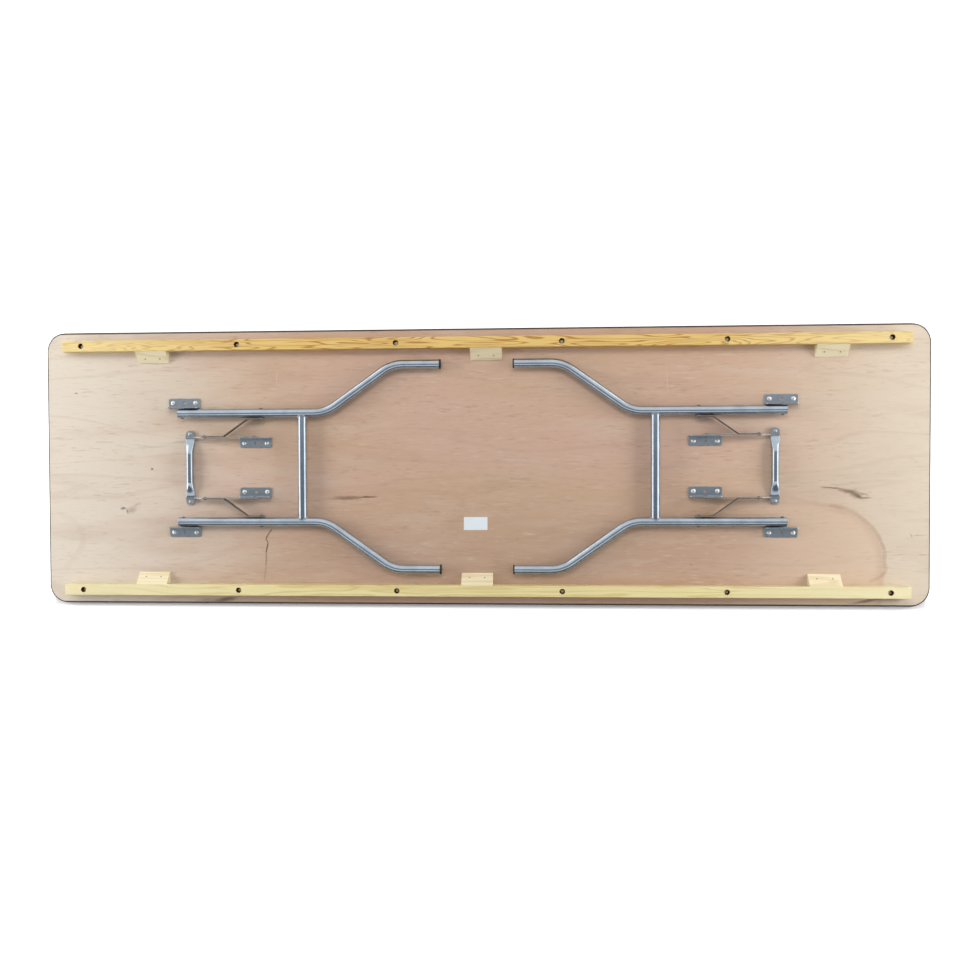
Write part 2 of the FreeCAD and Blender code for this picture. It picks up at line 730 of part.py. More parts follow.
def bracket_screw_spots():
    """The places of all bracket screws, as sums of sizes."""
    spots = []
    for end in ("-", "+"):
        for x, line in (("pivot_x", "hinge_screw_line"), ("brace_x", "brace_screw_line")):
            for step in ("-", "+"):
                for side in ("-", "+"):
                    spots.append((f"{end} {x} {step} bracket_screw_step", f"{side} {line}"))
    return spots


def bracket_screws():
    screw = wood_screw("bracket_screw", "bracket_screw_head_diameter", "bracket_screw_head_height",
                       "bracket_screw_diameter", "bracket_screw_length")
    seat = size("panel_thickness") + size("bracket_thickness")
    sides = {"left": [], "right": []}
    for number, (x, y) in enumerate(bracket_screw_spots()):
        turn = FreeCAD.Rotation(Z_AXIS, SCREW_TURN_DEGREES * number)
        spot = FreeCAD.Placement(FreeCAD.Vector(amount(x), amount(y), seat), turn)
        sides["left" if spot.Base.x < 0 else "right"].append(spot)
    for side, spots in sides.items():
        copies(f"{side}_bracket_screws", screw, spots)


def leg_place(thing, x="0", y="0"):
    """Put an object in the left trestle's own frame, whose origin is midway between its hinges."""
    place(thing, "- pivot_x" if x == "0" else f"- pivot_x + {x}", y, "pivot_level")


def leg_tubes():
    """The bent leg tube, drilled for its hinge rivet and its link rivet."""
    body = make_body("left_rear_leg_tube")
    leg_place(body)
    path = sketch_on(body, "XY_Plane")
    crank_path(path, "- tube_tail", "tube_end", "hip_line", "foot_line", "first_bend", "second_bend",
               "tube_bend_radius")
    section = sketch_on(body, "YZ_Plane", "- tube_tail")
    circle(section, "tube_radius", "hip_line")
    circle(section, "tube_bore", "hip_line")
    sweep(body, section, path)
    drill_across(body, [("rivet_hole", "0"), ("rivet_hole", "leg_link_distance")])
    four_of("leg_tube", body)


def sweep(body, section, path):
    item = body.newObject("PartDesign::AdditivePipe", "Pipe")
    item.Profile = section
    item.Spine = (path, [])
    doc.recompute()


def drill_across(body, holes):
    """Holes right across a trestle piece at the level of its pivots."""
    marks = sketch_on(body, "XZ_Plane")
    for radius, x in holes:
        circle(marks, radius, x)
    feature(body, "Pocket", marks, both_ways=True, through=True)


def crossbars():
    """The bar welded between the two tubes of a trestle, its ends shaped to the tubes."""
    body = make_body("crossbar_blank")
    leg_place(body, "crossbar_distance")
    section = sketch_on(body, "XZ_Plane")
    circle(section, "crossbar_radius")
    circle(section, "crossbar_bore")
    feature(body, "Pad", section, "hip_spacing", both_ways=True)
    saddles = []
    for line in ("hip_line", "- hip_line"):
        saddle = doc.addObject("Part::Cylinder", "Saddle")
        bind(saddle, "Radius", "tube_radius")
        bind(saddle, "Height", "crossbar_diameter + crossbar_diameter")
        along = FreeCAD.Rotation(Z_AXIS, X_AXIS)
        place(saddle, "- pivot_x + crossbar_distance - crossbar_diameter", line, "pivot_level", along)
        saddles.append(saddle)
    both = doc.addObject("Part::Compound", "Saddles")
    both.Links = saddles
    bar = doc.addObject("Part::Cut", "left_crossbar")
    bar.Label = "left_crossbar"
    bar.Base = body
    bar.Tool = both
    node(bar)
    node(mirror("right_crossbar", bar, X_AXIS))


def foot_caps():
    """A plastic cap on the foot, with a plug inside the tube."""
    body = make_body("left_rear_foot_cap")
    leg_place(body, y="foot_line")
    profile = sketch_on(body, "XY_Plane")
    outline(profile, [("plug_start", "0"), ("leg_length", "0"), ("leg_length", "cap_radius"),
                      ("tube_end", "cap_radius"), ("tube_end", "plug_radius"),
                      ("plug_start + plug_lead", "plug_radius"), ("plug_start", "plug_radius - plug_lead")])
    revolve(body, profile, "H_Axis")
    round_edges(body, "cap_round", lambda a, b: near(a.x, "leg_length") and near(b.x, "leg_length")
                and near(a.y, "cap_radius") and near(b.y, "cap_radius"))
    four_of("foot_cap", body)


def rivet(label, x, low_seat, high_seat, low_head=True, high_head=True):
    """A rivet across the trestle between two seats, with a domed head at one or both ends."""
    body = make_body(label)
    leg_place(body, x)
    profile = sketch_on(body, "XY_Plane")
    corners = [("0", low_seat), ("rivet_radius", low_seat)]
    domes = []
    if low_head:
        corners = [("0", f"{low_seat} - rivet_head_height"), ("rivet_head_radius", low_seat),
                   ("rivet_radius", low_seat)]
        domes.append(0)
    corners.append(("rivet_radius", high_seat))
    if high_head:
        domes.append(len(corners))
        corners += [("rivet_head_radius", high_seat), ("0", f"{high_seat} + rivet_head_height")]
    else:
        corners.append(("0", high_seat))
    outline(profile, corners, domes)
    revolve(body, profile, "V_Axis")
    return body


def ring(label, x, outer, inner, high_face, thickness):
    """A washer or spacer across the trestle, below its high face."""
    body = make_body(label)
    leg_place(body, x, high_face)
    section = sketch_on(body, "XZ_Plane")
    circle(section, outer)
    circle(section, inner)
    feature(body, "Pad", section, thickness)
    return body


def rivets():
    hinge = rivet("rear_hinge_rivet", "0", "hip_inner", "hinge_line + bracket_thickness + running_gap")
    pair_groups("hinge_rivets", hinge)
    washer = ring("rear_hinge_washer", "0", "washer_radius", "rivet_hole",
                  "hip_outer + washer_thickness", "washer_thickness")
    pair_groups("hinge_washers", washer)
    link = rivet("rear_link_rivet", "leg_link_distance", "crank_inner - running_gap", "hip_outer")
    pair_groups("link_rivets", link)
    spacer = ring("rear_link_spacer", "leg_link_distance", "spacer_radius", "rivet_hole", "hip_inner",
                  "spacer_thickness")
    pair_groups("link_spacers", spacer)
    brace = rivet("rear_brace_rivet", "brace_distance", "brace_line - bracket_thickness",
                  "table_link_outer + running_gap")
    pair_groups("brace_rivets", brace)
    inner = rivet("rear_inner_knee_rivet", "knee_x", "table_link_inner", "table_link_outer",
                  high_head=False)
    pair_groups("inner_knee_rivets", inner)
    outer = rivet("rear_outer_knee_rivet", "knee_x", "leg_link_inner", "leg_link_outer", low_head=False)
    pair_groups("outer_knee_rivets", outer)


def table_links():
    """The strap hinged on the brace bracket, with a tab bent outward under it for the spreader."""
    body = make_body("left_rear_table_link")
    leg_place(body)
    side = sketch_on(body, "XZ_Plane", "- table_link_inner")
    heel = "brace_distance + strap_half"
    outline(side, [("tab_far", "tab_base"), ("tab_near", "tab_base"), ("tab_run_end", "- strap_half"),
                   (heel, "- strap_half"), (heel, "strap_half"), ("taper_x", "strap_half"),
                   ("tab_near", "tab_lip_top"), ("tab_far", "tab_lip_top")])
    feature(body, "Pad", side, "strap_thickness", back=True)
    round_edges(body, "strap_end_round", lambda a, b: near(a.x, heel) and near(b.x, heel)
                and abs(a.z - b.z) < SAME_PLACE)
    tab = sketch_on(body, "XY_Plane", "tab_base")
    outline(tab, [("tab_far", "table_link_inner"), ("tab_near", "table_link_inner"), ("tab_near", "tab_tip"),
                  ("tab_far", "tab_tip")])
    feature(body, "Pad", tab, "tab_thickness")
    round_edges(body, "flat_corner", lambda a, b: near(a.y, "tab_tip") and near(b.y, "tab_tip")
                and abs(a.x - b.x) < SAME_PLACE)
    drill_across(body, [("rivet_running_hole", "brace_distance"), ("rivet_hole", "knee_x")])
    bolt = sketch_on(body, "XY_Plane")
    circle(bolt, "bolt_hole", "spreader_x", "bolt_line")
    feature(body, "Pocket", bolt, through=True)
    four_of("table_link", body)


def leg_links():
    """The cranked strap between the knee and the leg tube."""
    body = make_body("left_rear_leg_link")
    leg_place(body)
    path = sketch_on(body, "XY_Plane")
    crank_path(path, "leg_link_start", "leg_link_end", "leg_link_line", "crank_line", "crank_first",
               "crank_second", "strap_bend_radius")
    section = sketch_on(body, "YZ_Plane", "leg_link_start")
    outline(section, [("leg_link_inner", "- strap_half"), ("leg_link_outer", "- strap_half"),
                      ("leg_link_outer", "strap_half"), ("leg_link_inner", "strap_half")])
    sweep(body, section, path)
    for end in ("leg_link_start", "leg_link_end"):
        round_edges(body, "strap_end_round", lambda a, b, end=end: near(a.x, end) and near(b.x, end)
                    and abs(a.z - b.z) < SAME_PLACE)
    drill_across(body, [("rivet_hole", "knee_x"), ("rivet_running_hole", "leg_link_distance")])
    four_of("leg_link", body)


def spreader_bars():
    """A round bar with flattened ends, each end lying under the tab of a strap."""
    centre = FreeCAD.Vector(size("spreader_x"), 0, size("spreader_level"))
    flat_middle = size("flat_base") + size("flat_thickness") / 2
    half_flat = size("flat_thickness") / 2
    half_width = size("flat_width") / 2
    radius = size("spreader_radius")
    corner = radius * math.sqrt(0.5)

    def section(y, level, run, rise, side_bulge, top_bulge):
        """Four sides between four corners, each side bulging out to an arc."""
        def spot(x, z):
            return FreeCAD.Vector(centre.x + x, y, level + z)
        top = Part.Arc(spot(run, rise), spot(0, rise + top_bulge), spot(-run, rise))
        left = Part.Arc(spot(-run, rise), spot(-run - side_bulge, 0), spot(-run, -rise))
        low = Part.Arc(spot(-run, -rise), spot(0, -rise - top_bulge), spot(run, -rise))
        right = Part.Arc(spot(run, -rise), spot(run + side_bulge, 0), spot(run, rise))
        return Part.Wire([arc.toShape() for arc in (top, left, low, right)])

    bulge = radius - corner
    round_end = (centre.z, corner, corner, bulge, bulge)
    flat_end = (flat_middle, half_width - half_flat, half_flat * (1 - FLAT_CROWN_SHARE), half_flat,
                half_flat * FLAT_CROWN_SHARE)

    def neck_section(side, share):
        """A section so far along the neck, easing from the round bar to the flattened end."""
        ease = share * share * (3 - 2 * share)
        shape = [start + ease * (end - start) for start, end in zip(round_end, flat_end)]
        return section(side * (size("neck_start") + share * size("neck_length")), *shape)

    solids = [Part.makeCylinder(radius, 2 * size("neck_start"),
                                centre - Y_AXIS * size("neck_start"), Y_AXIS)]
    for side in (1, -1):
        solids.append(Part.makeLoft([neck_section(side, share) for share in NECK_SHARES], True))
        low_y = min(side * size("flat_start"), side * size("tab_tip"))
        flat = Part.makeBox(2 * half_width, size("flat_length"), 2 * half_flat,
                            FreeCAD.Vector(centre.x - half_width, low_y, size("flat_base")))
        tip = side * size("tab_tip")
        ends = [edge for edge in flat.Edges
                if all(abs(v.Y - tip) < SAME_PLACE for v in edge.Vertexes)
                and abs(edge.Vertexes[0].Z - edge.Vertexes[1].Z) > SAME_PLACE]
        flat = flat.makeFillet(size("flat_corner"), ends)
        hole = Part.makeCylinder(size("bolt_hole"), 2 * half_flat + 2 * size("cut_overrun"),
                                 FreeCAD.Vector(centre.x, side * size("bolt_line"),
                                                size("flat_base") - size("cut_overrun")))
        solids.append(flat.cut(hole))
    bar = doc.addObject("Part::Feature", "left_spreader_bar")
    bar.Label = "left_spreader_bar"
    bar.Shape = solids[0].multiFuse(solids[1:]).removeSplitter().Solids[0]
    leg_place(bar)
    node(bar)
    node(mirror("right_spreader_bar", bar, X_AXIS))


def spreader_bolts():
    """A bolt down through tab and flattened bar end, peened over below."""
    body = make_body("rear_spreader_bolt")
    place(body, "- pivot_x + spreader_x", "bolt_line", "pivot_level")
    profile = sketch_on(body, "XZ_Plane")
    outline(profile, [("0", "flat_base - bolt_peen_height"), ("bolt_head_radius", "flat_base"),
                      ("bolt_radius", "flat_base"), ("bolt_radius", "tab_top"),
                      ("bolt_head_radius", "tab_top"), ("0", "tab_top + bolt_head_height")], domes=(0, 4))
    revolve(body, profile, "V_Axis")
    pair_groups("spreader_bolts", body)


def check_and_write():
    """Stop on any failed object or shape, then write one file for each piece."""
    doc.recompute()
    for thing in doc.Objects:
        if "Invalid" in thing.State or "Error" in thing.State:
            raise RuntimeError(f"{thing.Label} failed: {thing.State}")
    for piece in nodes:
        shape = piece.Shape
        if shape.isNull() or not shape.isValid() or not shape.Solids:
            raise RuntimeError(f"{piece.Label} has no valid solid")
    os.makedirs("parts", exist_ok=True)
    for piece in nodes:
        piece.Shape.exportStep(f"parts/{piece.Label}.step")
    print(f"wrote {len(nodes)} pieces")


def main():
    fill_sheet()
    nail_holes = nail_hole_tool()
    plywood_panel(nail_holes)
    edge_band()
    rail("rear_rail", "rail_line")
    rail("front_rail", "- rail_line")
    rail_screws()
    glue_blocks(nail_holes)
    block_nails()
    blank_label()
    brackets()
    bracket_screws()
    leg_tubes()
    crossbars()
    foot_caps()
    rivets()
    table_links()
    leg_links()
    spreader_bars()
    spreader_bolts()
    check_and_write()


main()
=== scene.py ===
import math
from collections import namedtuple

import bpy
from mathutils import Matrix, Vector


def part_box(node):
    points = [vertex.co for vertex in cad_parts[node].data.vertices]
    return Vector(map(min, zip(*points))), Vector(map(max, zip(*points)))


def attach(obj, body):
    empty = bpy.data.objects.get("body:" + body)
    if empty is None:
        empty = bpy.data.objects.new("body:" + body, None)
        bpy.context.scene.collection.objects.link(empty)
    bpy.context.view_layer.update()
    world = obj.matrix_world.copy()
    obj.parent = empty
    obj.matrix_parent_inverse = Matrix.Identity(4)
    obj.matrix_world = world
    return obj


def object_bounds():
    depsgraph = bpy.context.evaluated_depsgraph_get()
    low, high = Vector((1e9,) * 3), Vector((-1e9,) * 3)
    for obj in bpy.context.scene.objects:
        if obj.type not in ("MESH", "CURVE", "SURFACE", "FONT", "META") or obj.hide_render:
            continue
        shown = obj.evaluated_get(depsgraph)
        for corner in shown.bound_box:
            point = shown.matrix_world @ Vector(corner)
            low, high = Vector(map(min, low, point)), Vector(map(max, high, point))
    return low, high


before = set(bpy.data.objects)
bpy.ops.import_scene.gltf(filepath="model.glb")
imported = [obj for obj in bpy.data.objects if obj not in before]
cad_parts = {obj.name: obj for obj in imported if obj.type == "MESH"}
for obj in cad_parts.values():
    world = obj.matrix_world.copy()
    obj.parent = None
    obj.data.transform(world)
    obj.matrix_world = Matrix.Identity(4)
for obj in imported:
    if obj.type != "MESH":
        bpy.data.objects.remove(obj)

bl_info = {
    "name": "Folding Trestle Table",
    "version": (1, 0, 0),
    "blender": (4, 5, 0),
    "location": "View3D > Sidebar > Table",
    "description": "Finishes, weld beads and studio for a folding table with two trestle legs",
    "category": "Object",
}

# The table lies on its top. X runs along it, Y across it, Z up, in metres.
CAD_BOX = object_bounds()
SIDES = ("left", "right")
ROWS = ("rear", "front")


def tone(red, green, blue):
    """A colour given as display values from 0 to 255, as the linear values that Blender keeps."""
    shares = (value / 255 for value in (red, green, blue))
    return tuple(share / 12.92 if share <= 0.04045 else ((share + 0.055) / 1.055) ** 2.4
                 for share in shares)


def even(cells):
    """Noise cells per metre that are the same along X, Y and Z."""
    return (cells, cells, cells)


def colour_property(name, description, default):
    return bpy.props.FloatVectorProperty(name=name, description=description, subtype="COLOR", size=3,
                                         min=0.0, max=1.0, default=default)


def length_property(name, description, default):
    return bpy.props.FloatProperty(name=name, description=description, unit="LENGTH", min=0.0,
                                   default=default, precision=4)


class TableFinish(bpy.types.PropertyGroup):
    """Colours of the table's surfaces."""
    veneer_rosy: colour_property("Rosy veneer", "Pinker areas of the plywood face", tone(195, 161, 141))
    veneer_sandy: colour_property("Sandy veneer", "Yellower areas of the face", tone(192, 159, 131))
    # Painted light: the pale colour also pales the face's left end; its streaks and scratches are real
    veneer_pale_streak_and_lit_end: colour_property("Pale veneer", "Streaks and the bleached left end", tone(209, 199, 184))
    # Painted light: the cream colour pales the face's right end
    veneer_lit_right_end: colour_property("Cream veneer", "Bleached right end", tone(207, 194, 174))
    veneer_amber: colour_property("Amber veneer", "Warm heart of the growth ring", tone(203, 168, 140))
    veneer_dark: colour_property("Veneer grain", "Flecks and grain lines of the face", tone(163, 131, 108))
    veneer_flaw: colour_property("Veneer flaw", "Mineral streaks, cracks and the knot", tone(112, 84, 62))
    rear_pine: colour_property("Rear rail", "Early wood of the rear rail", tone(224, 190, 112))
    rear_pine_grain: colour_property("Rear rail grain", "Late wood of the rear rail", tone(170, 120, 54))
    # Painted light: this colour pales the rear rail's ends
    rear_pine_lit_ends: colour_property("Rear rail ends", "Bleached ends of the rear rail", tone(225, 207, 150))
    front_pine: colour_property("Front rail", "Early wood of the front rail", tone(230, 217, 160))
    front_pine_grain: colour_property("Front rail grain", "Late wood, front rail", tone(204, 180, 112))
    # Painted light: this colour pales the front rail's ends
    front_pine_lit_ends: colour_property("Front rail ends", "Bleached ends, front rail", tone(226, 217, 181))
    block_pine: colour_property("Glue block", "Early wood of the glue blocks", tone(232, 220, 186))
    block_pine_grain: colour_property("Glue block grain", "Late wood of the blocks", tone(214, 194, 148))
    # Painted shade: this colour darkens the walls of the rails' screw holes
    bore_painted_shade: colour_property("Screw hole", "Shaded wood inside the screw holes", tone(84, 52, 26))
    tube: colour_property("Tube", "Satin steel of the legs", tone(184, 196, 208))
    plate: colour_property("Plate", "Zinc plated steel of the brackets", tone(177, 186, 194))
    # Painted shade: the leg links' zinc is darkened to stand in for the dark reflections on the upright
    # straps
    strap_painted_shade: colour_property("Strap", "Dull zinc of the braces' leg links", tone(142, 138, 133))
    rivet: colour_property("Rivet", "Dull steel of rivets, washers and spacers", tone(152, 154, 157))
    link: colour_property("Table link", "Brighter zinc of the braces' table links", tone(176, 178, 180))
    fastener: colour_property("Fastener", "Bright steel of the bracket screws", tone(228, 229, 230))
    bolt: colour_property("Bolt", "Steel of the spreader bolts", tone(178, 182, 186))
    screw: colour_property("Rail screw", "Yellow zinc of the screws in the rails", tone(255, 238, 190))
    nail: colour_property("Nail", "Steel of the nails in the glue blocks", tone(164, 156, 140))
    weld: colour_property("Weld", "Steel of the weld beads", tone(172, 176, 182))
    band: colour_property("Edge band", "Moulding round the panel", tone(13, 13, 15))
    cap: colour_property("Foot cap", "Plastic caps on the feet", tone(24, 24, 26))
    paper: colour_property("Label", "Blank paper label", tone(222, 231, 238))


class WeldSizes(bpy.types.PropertyGroup):
    """Sizes of the weld beads at the crossbars."""
    bead_radius: length_property("Bead radius", "Radius of one weld bead", 0.0023)
    bead_count: bpy.props.IntProperty(name="Beads", description="Beads in one weld", default=26, min=8)
    unevenness: bpy.props.FloatProperty(name="Unevenness", description="Spread of the bead sizes",
                                        subtype="FACTOR", default=0.18, min=0.0, max=0.5)
    seed: bpy.props.IntProperty(name="Seed", description="Seed of the bead sizes", default=7)


class StudioSettings(bpy.types.PropertyGroup):
    """Camera and light."""
    camera_place: bpy.props.FloatVectorProperty(
        name="Camera", description="Place of the camera", subtype="TRANSLATION",
        default=(0.21218, -0.00018, 2.8))
    camera_yaw: bpy.props.FloatProperty(name="Yaw", description="Turn of the view along the table",
                                        subtype="ANGLE", default=-0.06384)
    camera_pitch: bpy.props.FloatProperty(name="Pitch", description="Turn of the view across the table",
                                          subtype="ANGLE", default=0.02289)
    camera_roll: bpy.props.FloatProperty(name="Roll", description="Turn of the picture", subtype="ANGLE",
                                         default=0.0034)
    lens: bpy.props.FloatProperty(name="Lens", description="Focal length in millimetres on a 36 mm frame",
                                  default=37.1127, min=1.0)
    key_power: bpy.props.FloatProperty(name="Rear lamp", description="Power of the rear softbox in watts",
                                       default=58.0, min=0.0)
    side_power: bpy.props.FloatProperty(name="End lamps", description="Power of each end softbox in watts",
                                        default=66.0, min=0.0)
    fill: bpy.props.FloatProperty(name="Fill", description="Level of the room light", default=0.30, min=0.0)
    overhead_card: colour_property("Overhead card", "Card above the table, mirrored in the steel",
                                   (0.188, 0.221, 0.248))
    front_card: colour_property("Front card", "Dark card before the table, mirrored in the steel",
                                (0.13, 0.14, 0.16))
    end_card: bpy.props.FloatProperty(name="End cards", description="Level of the white cards at the ends",
                                      default=2.2, min=0.0)


# Shader inputs whose names aren't plain words
SOCKETS = {"specular_ior_level": "Specular IOR Level"}


class Recipe:
    """Writes one material as nested calls that return node sockets. Places are in metres."""

    def __init__(self, name):
        self.material = bpy.data.materials.new(name)
        self.material.use_nodes = True
        self.tree = self.material.node_tree
        self.shader = self.tree.nodes["Principled BSDF"]
        self.place = self.add("ShaderNodeTexCoord").outputs["Object"]
        self.x, self.y, self.z = self.add("ShaderNodeSeparateXYZ", {"Vector": self.place}).outputs

    def add(self, kind, inputs=None, **settings):
        node = self.tree.nodes.new(kind)
        for name, value in settings.items():
            setattr(node, name, value)
        for key, value in (inputs or {}).items():
            self.feed(node.inputs[key], value)
        return node

    def feed(self, socket, value):
        if isinstance(value, bpy.types.NodeSocket):
            self.tree.links.new(value, socket)
        elif socket.type == "RGBA" and len(value) == 3:
            socket.default_value = (*value, 1.0)
        else:
            socket.default_value = value

    def math(self, operation, *values):
        node = self.add("ShaderNodeMath", dict(enumerate(values)), operation=operation)
        return node.outputs[0]

    def noise(self, cells, detail=2.0, warp=0.0, shift=(0.0, 0.0, 0.0)):
        """Noise from 0 to 1 with so many cells per metre along X, Y and Z."""
        mapped = self.add("ShaderNodeMapping", {"Vector": self.place, "Scale": cells, "Location": shift})
        node = self.add("ShaderNodeTexNoise", {"Vector": mapped.outputs[0], "Scale": 1.0,
                                               "Detail": detail, "Distortion": warp})
        return node.outputs[0]

    def shaken(self, cells, reach, detail=1.0):
        """The place, pushed about by noise, for outlines that wander."""
        mapped = self.add("ShaderNodeMapping", {"Vector": self.place, "Scale": cells})
        node = self.add("ShaderNodeTexNoise", {"Vector": mapped.outputs[0], "Scale": 1.0, "Detail": detail})
        centred = self.add("ShaderNodeVectorMath", {0: node.outputs[1], 1: (0.5, 0.5, 0.5)},
                           operation="SUBTRACT")
        push = self.add("ShaderNodeVectorMath", {0: centred.outputs[0], 1: reach}, operation="MULTIPLY")
        moved = self.add("ShaderNodeVectorMath", {0: self.place, 1: push.outputs[0]}, operation="ADD")
        return moved.outputs[0]

    def level(self, value, start, end, low=0.0, high=1.0):
        """A smooth step of a value from low to high between start and end."""
        node = self.add("ShaderNodeMapRange", {"Value": value, "From Min": start, "From Max": end,
                                               "To Min": low, "To Max": high},
                        interpolation_type="SMOOTHSTEP")
        return node.outputs[0]

    def mix(self, share, first, second):
        """The first colour at share 0, the second at share 1."""
        node = self.add("ShaderNodeMix", {0: share, 6: first, 7: second}, data_type="RGBA")
        return node.outputs[2]

    def distance(self, centre, half_sizes, turn=0.0, place=None):
        """Distance from a centre in half sizes of an ellipse: 1 on its outline."""
        local = self.add("ShaderNodeMapping", {"Vector": place or self.place, "Location": (*centre, 0.0),
                                               "Rotation": (0.0, 0.0, turn), "Scale": (*half_sizes, 10.0)},
                         vector_type="TEXTURE")
        span = self.add("ShaderNodeVectorMath", {0: local.outputs[0]}, operation="LENGTH")
        return span.outputs["Value"], local.outputs[0]

    def lines(self, value, count, start, end):
        """Contour lines of a value: 1 on a line, 0 between lines."""
        wave = self.math("PINGPONG", self.math("MULTIPLY", value, count), 0.5)
        return self.level(wave, start, end, 1.0, 0.0)

    def finish(self, colour, roughness, height=None, relief=0.0, edge=0.0, **constants):
        """Feed the shader. An edge is the radius by which sharp corners catch the light."""
        self.feed(self.shader.inputs["Base Color"], colour)
        self.feed(self.shader.inputs["Roughness"], roughness)
        for name, value in constants.items():
            self.shader.inputs[SOCKETS.get(name, name.replace("_", " ").title())].default_value = value
        if height is not None:
            bump = self.add("ShaderNodeBump", {"Height": height, "Distance": relief, "Strength": 1.0})
            if edge:
                rounded = self.add("ShaderNodeBevel", {"Radius": edge}, samples=6)
                self.feed(bump.inputs["Normal"], rounded.outputs[0])
            self.feed(self.shader.inputs["Normal"], bump.outputs[0])
        return self.material


# A mark on the plywood's underside: its middle, length and width in metres, turn in degrees, depth
Mark = namedtuple("Mark", "x y length width turn depth")
DARK_MARKS = (
    Mark(-0.373, -0.086, 0.140, 0.0160, 2, 0.50),
    Mark(-0.356, -0.085, 0.100, 0.0180, 2, 0.55),
    Mark(-0.308, -0.083, 0.080, 0.0090, 3, 1.00),
    Mark(0.961, -0.060, 0.090, 0.0090, -5, 0.90),
    Mark(1.001, -0.069, 0.070, 0.0180, -12, 0.85),
    Mark(1.020, -0.077, 0.062, 0.0290, -22, 0.70),
    Mark(1.030, -0.083, 0.042, 0.0140, -28, 0.90),
    Mark(1.051, -0.087, 0.044, 0.0090, -3, 0.75),
    Mark(1.043, -0.077, 0.044, 0.0110, -12, 0.50),
    Mark(-1.004, -0.113, 0.026, 0.0110, 2, 1.00),
    Mark(-0.992, -0.122, 0.020, 0.0080, -55, 0.80),
    Mark(-0.979, -0.118, 0.046, 0.0290, 12, 0.42),
    Mark(-0.963, -0.103, 0.036, 0.0140, 25, 0.28),
    Mark(1.188, -0.188, 0.050, 0.0050, 0, 0.45),
    Mark(1.170, -0.189, 0.028, 0.0050, -60, 0.40),
    Mark(1.200, -0.241, 0.032, 0.0050, 0, 0.45),
    Mark(-0.820, 0.074, 0.190, 0.0100, 5, 0.25),
    Mark(-0.915, 0.059, 0.170, 0.0080, 4, 0.18),
    Mark(-0.737, 0.085, 0.130, 0.0080, 3, 0.22),
    Mark(-1.200, 0.085, 0.060, 0.0080, 2, 0.22),
    Mark(-0.714, -0.371, 0.105, 0.0200, 10, 0.95),
    Mark(-0.764, -0.374, 0.100, 0.0200, 4, 0.40),
    Mark(1.052, -0.366, 0.110, 0.0130, 10, 0.85),
    Mark(1.113, -0.361, 0.110, 0.0220, 2, 0.48),
    Mark(-1.137, 0.212, 0.010, 0.0080, 0, 1.00),
    Mark(-0.920, -0.003, 0.010, 0.0080, 0, 1.00),
    Mark(0.584, -0.269, 0.008, 0.0080, 0, 1.00),
)
LIGHT_MARKS = (
    Mark(-0.561, 0.250, 0.060, 0.0028, 88, 0.50),
    Mark(0.519, 0.231, 0.095, 0.0028, 94, 0.50),
    Mark(-0.696, 0.196, 0.022, 0.0026, 86, 0.40),
    Mark(-0.820, 0.240, 0.100, 0.0040, 1, 0.30),
    Mark(0.557, 0.254, 0.160, 0.0040, 2, 0.30),
)
# A line on the veneer from point to point in metres, with its width and the depth of each stretch
Trail = namedtuple("Trail", "points width depths")
RIGHT_RING = Trail(((0.850, -0.087), (0.951, -0.107), (0.993, -0.114), (1.017, -0.125), (1.041, -0.144),
                    (1.063, -0.161), (1.078, -0.183), (1.090, -0.207), (1.100, -0.227), (1.098, -0.254),
                    (1.103, -0.286), (1.091, -0.302), (1.062, -0.313)),
                   0.014, (0.20, 0.45, 0.30, 0.30, 0.35, 0.40, 0.45, 0.50, 0.45, 0.40, 0.50, 0.35))
LEFT_RING = Trail(((-1.187, -0.129), (-1.163, -0.142), (-1.137, -0.160), (-1.123, -0.183),
                   (-1.121, -0.208), (-1.129, -0.234), (-1.152, -0.261), (-1.178, -0.285)),
                  0.026, (0.08, 0.10, 0.12, 0.12, 0.12, 0.10, 0.08))
CRACK = Trail(((-0.5780, -0.1729), (-0.5851, -0.1827), (-0.5950, -0.1981), (-0.5893, -0.2106),
               (-0.5942, -0.2386), (-0.5950, -0.2748), (-0.6007, -0.3140)),
              0.0060, (0.85, 0.95, 0.75, 1.00, 0.55, 0.30))
# The warm wood inside the right ring: its middle, half sizes and squareness
HEART_CENTRE = (0.846, -0.297)
HEART_HALF_SIZES = (0.252, 0.200)
HEART_POWER = 2.7
# A thin dark strip on the veneer beside the edge band's long sides: its width and its soft inner margin in
# metres
DARK_STRIP_WIDTH = 0.0012
DARK_STRIP_MARGIN = 0.0012
# Heights in metres between which flaws and rings begin to show, so that the far face stays plain
FLAWS_FROM = 0.010
FLAWS_FULL = 0.012
# The rails' screw holes, which get painted shade: their radius and the depth at which they turn dark, in
# metres
BORE_RADIUS = 0.0075
BORE_LIP = 0.0012
# Shares of the full colour in the dull patches of steel and zinc
STEEL_SHADE = 0.84
ZINC_SHADE = 0.78
# The label's yellowed rim: its width in metres, and the shares of red, green and blue it keeps
LABEL_RIM = 0.003
LABEL_YELLOW = (0.94, 0.90, 0.80)


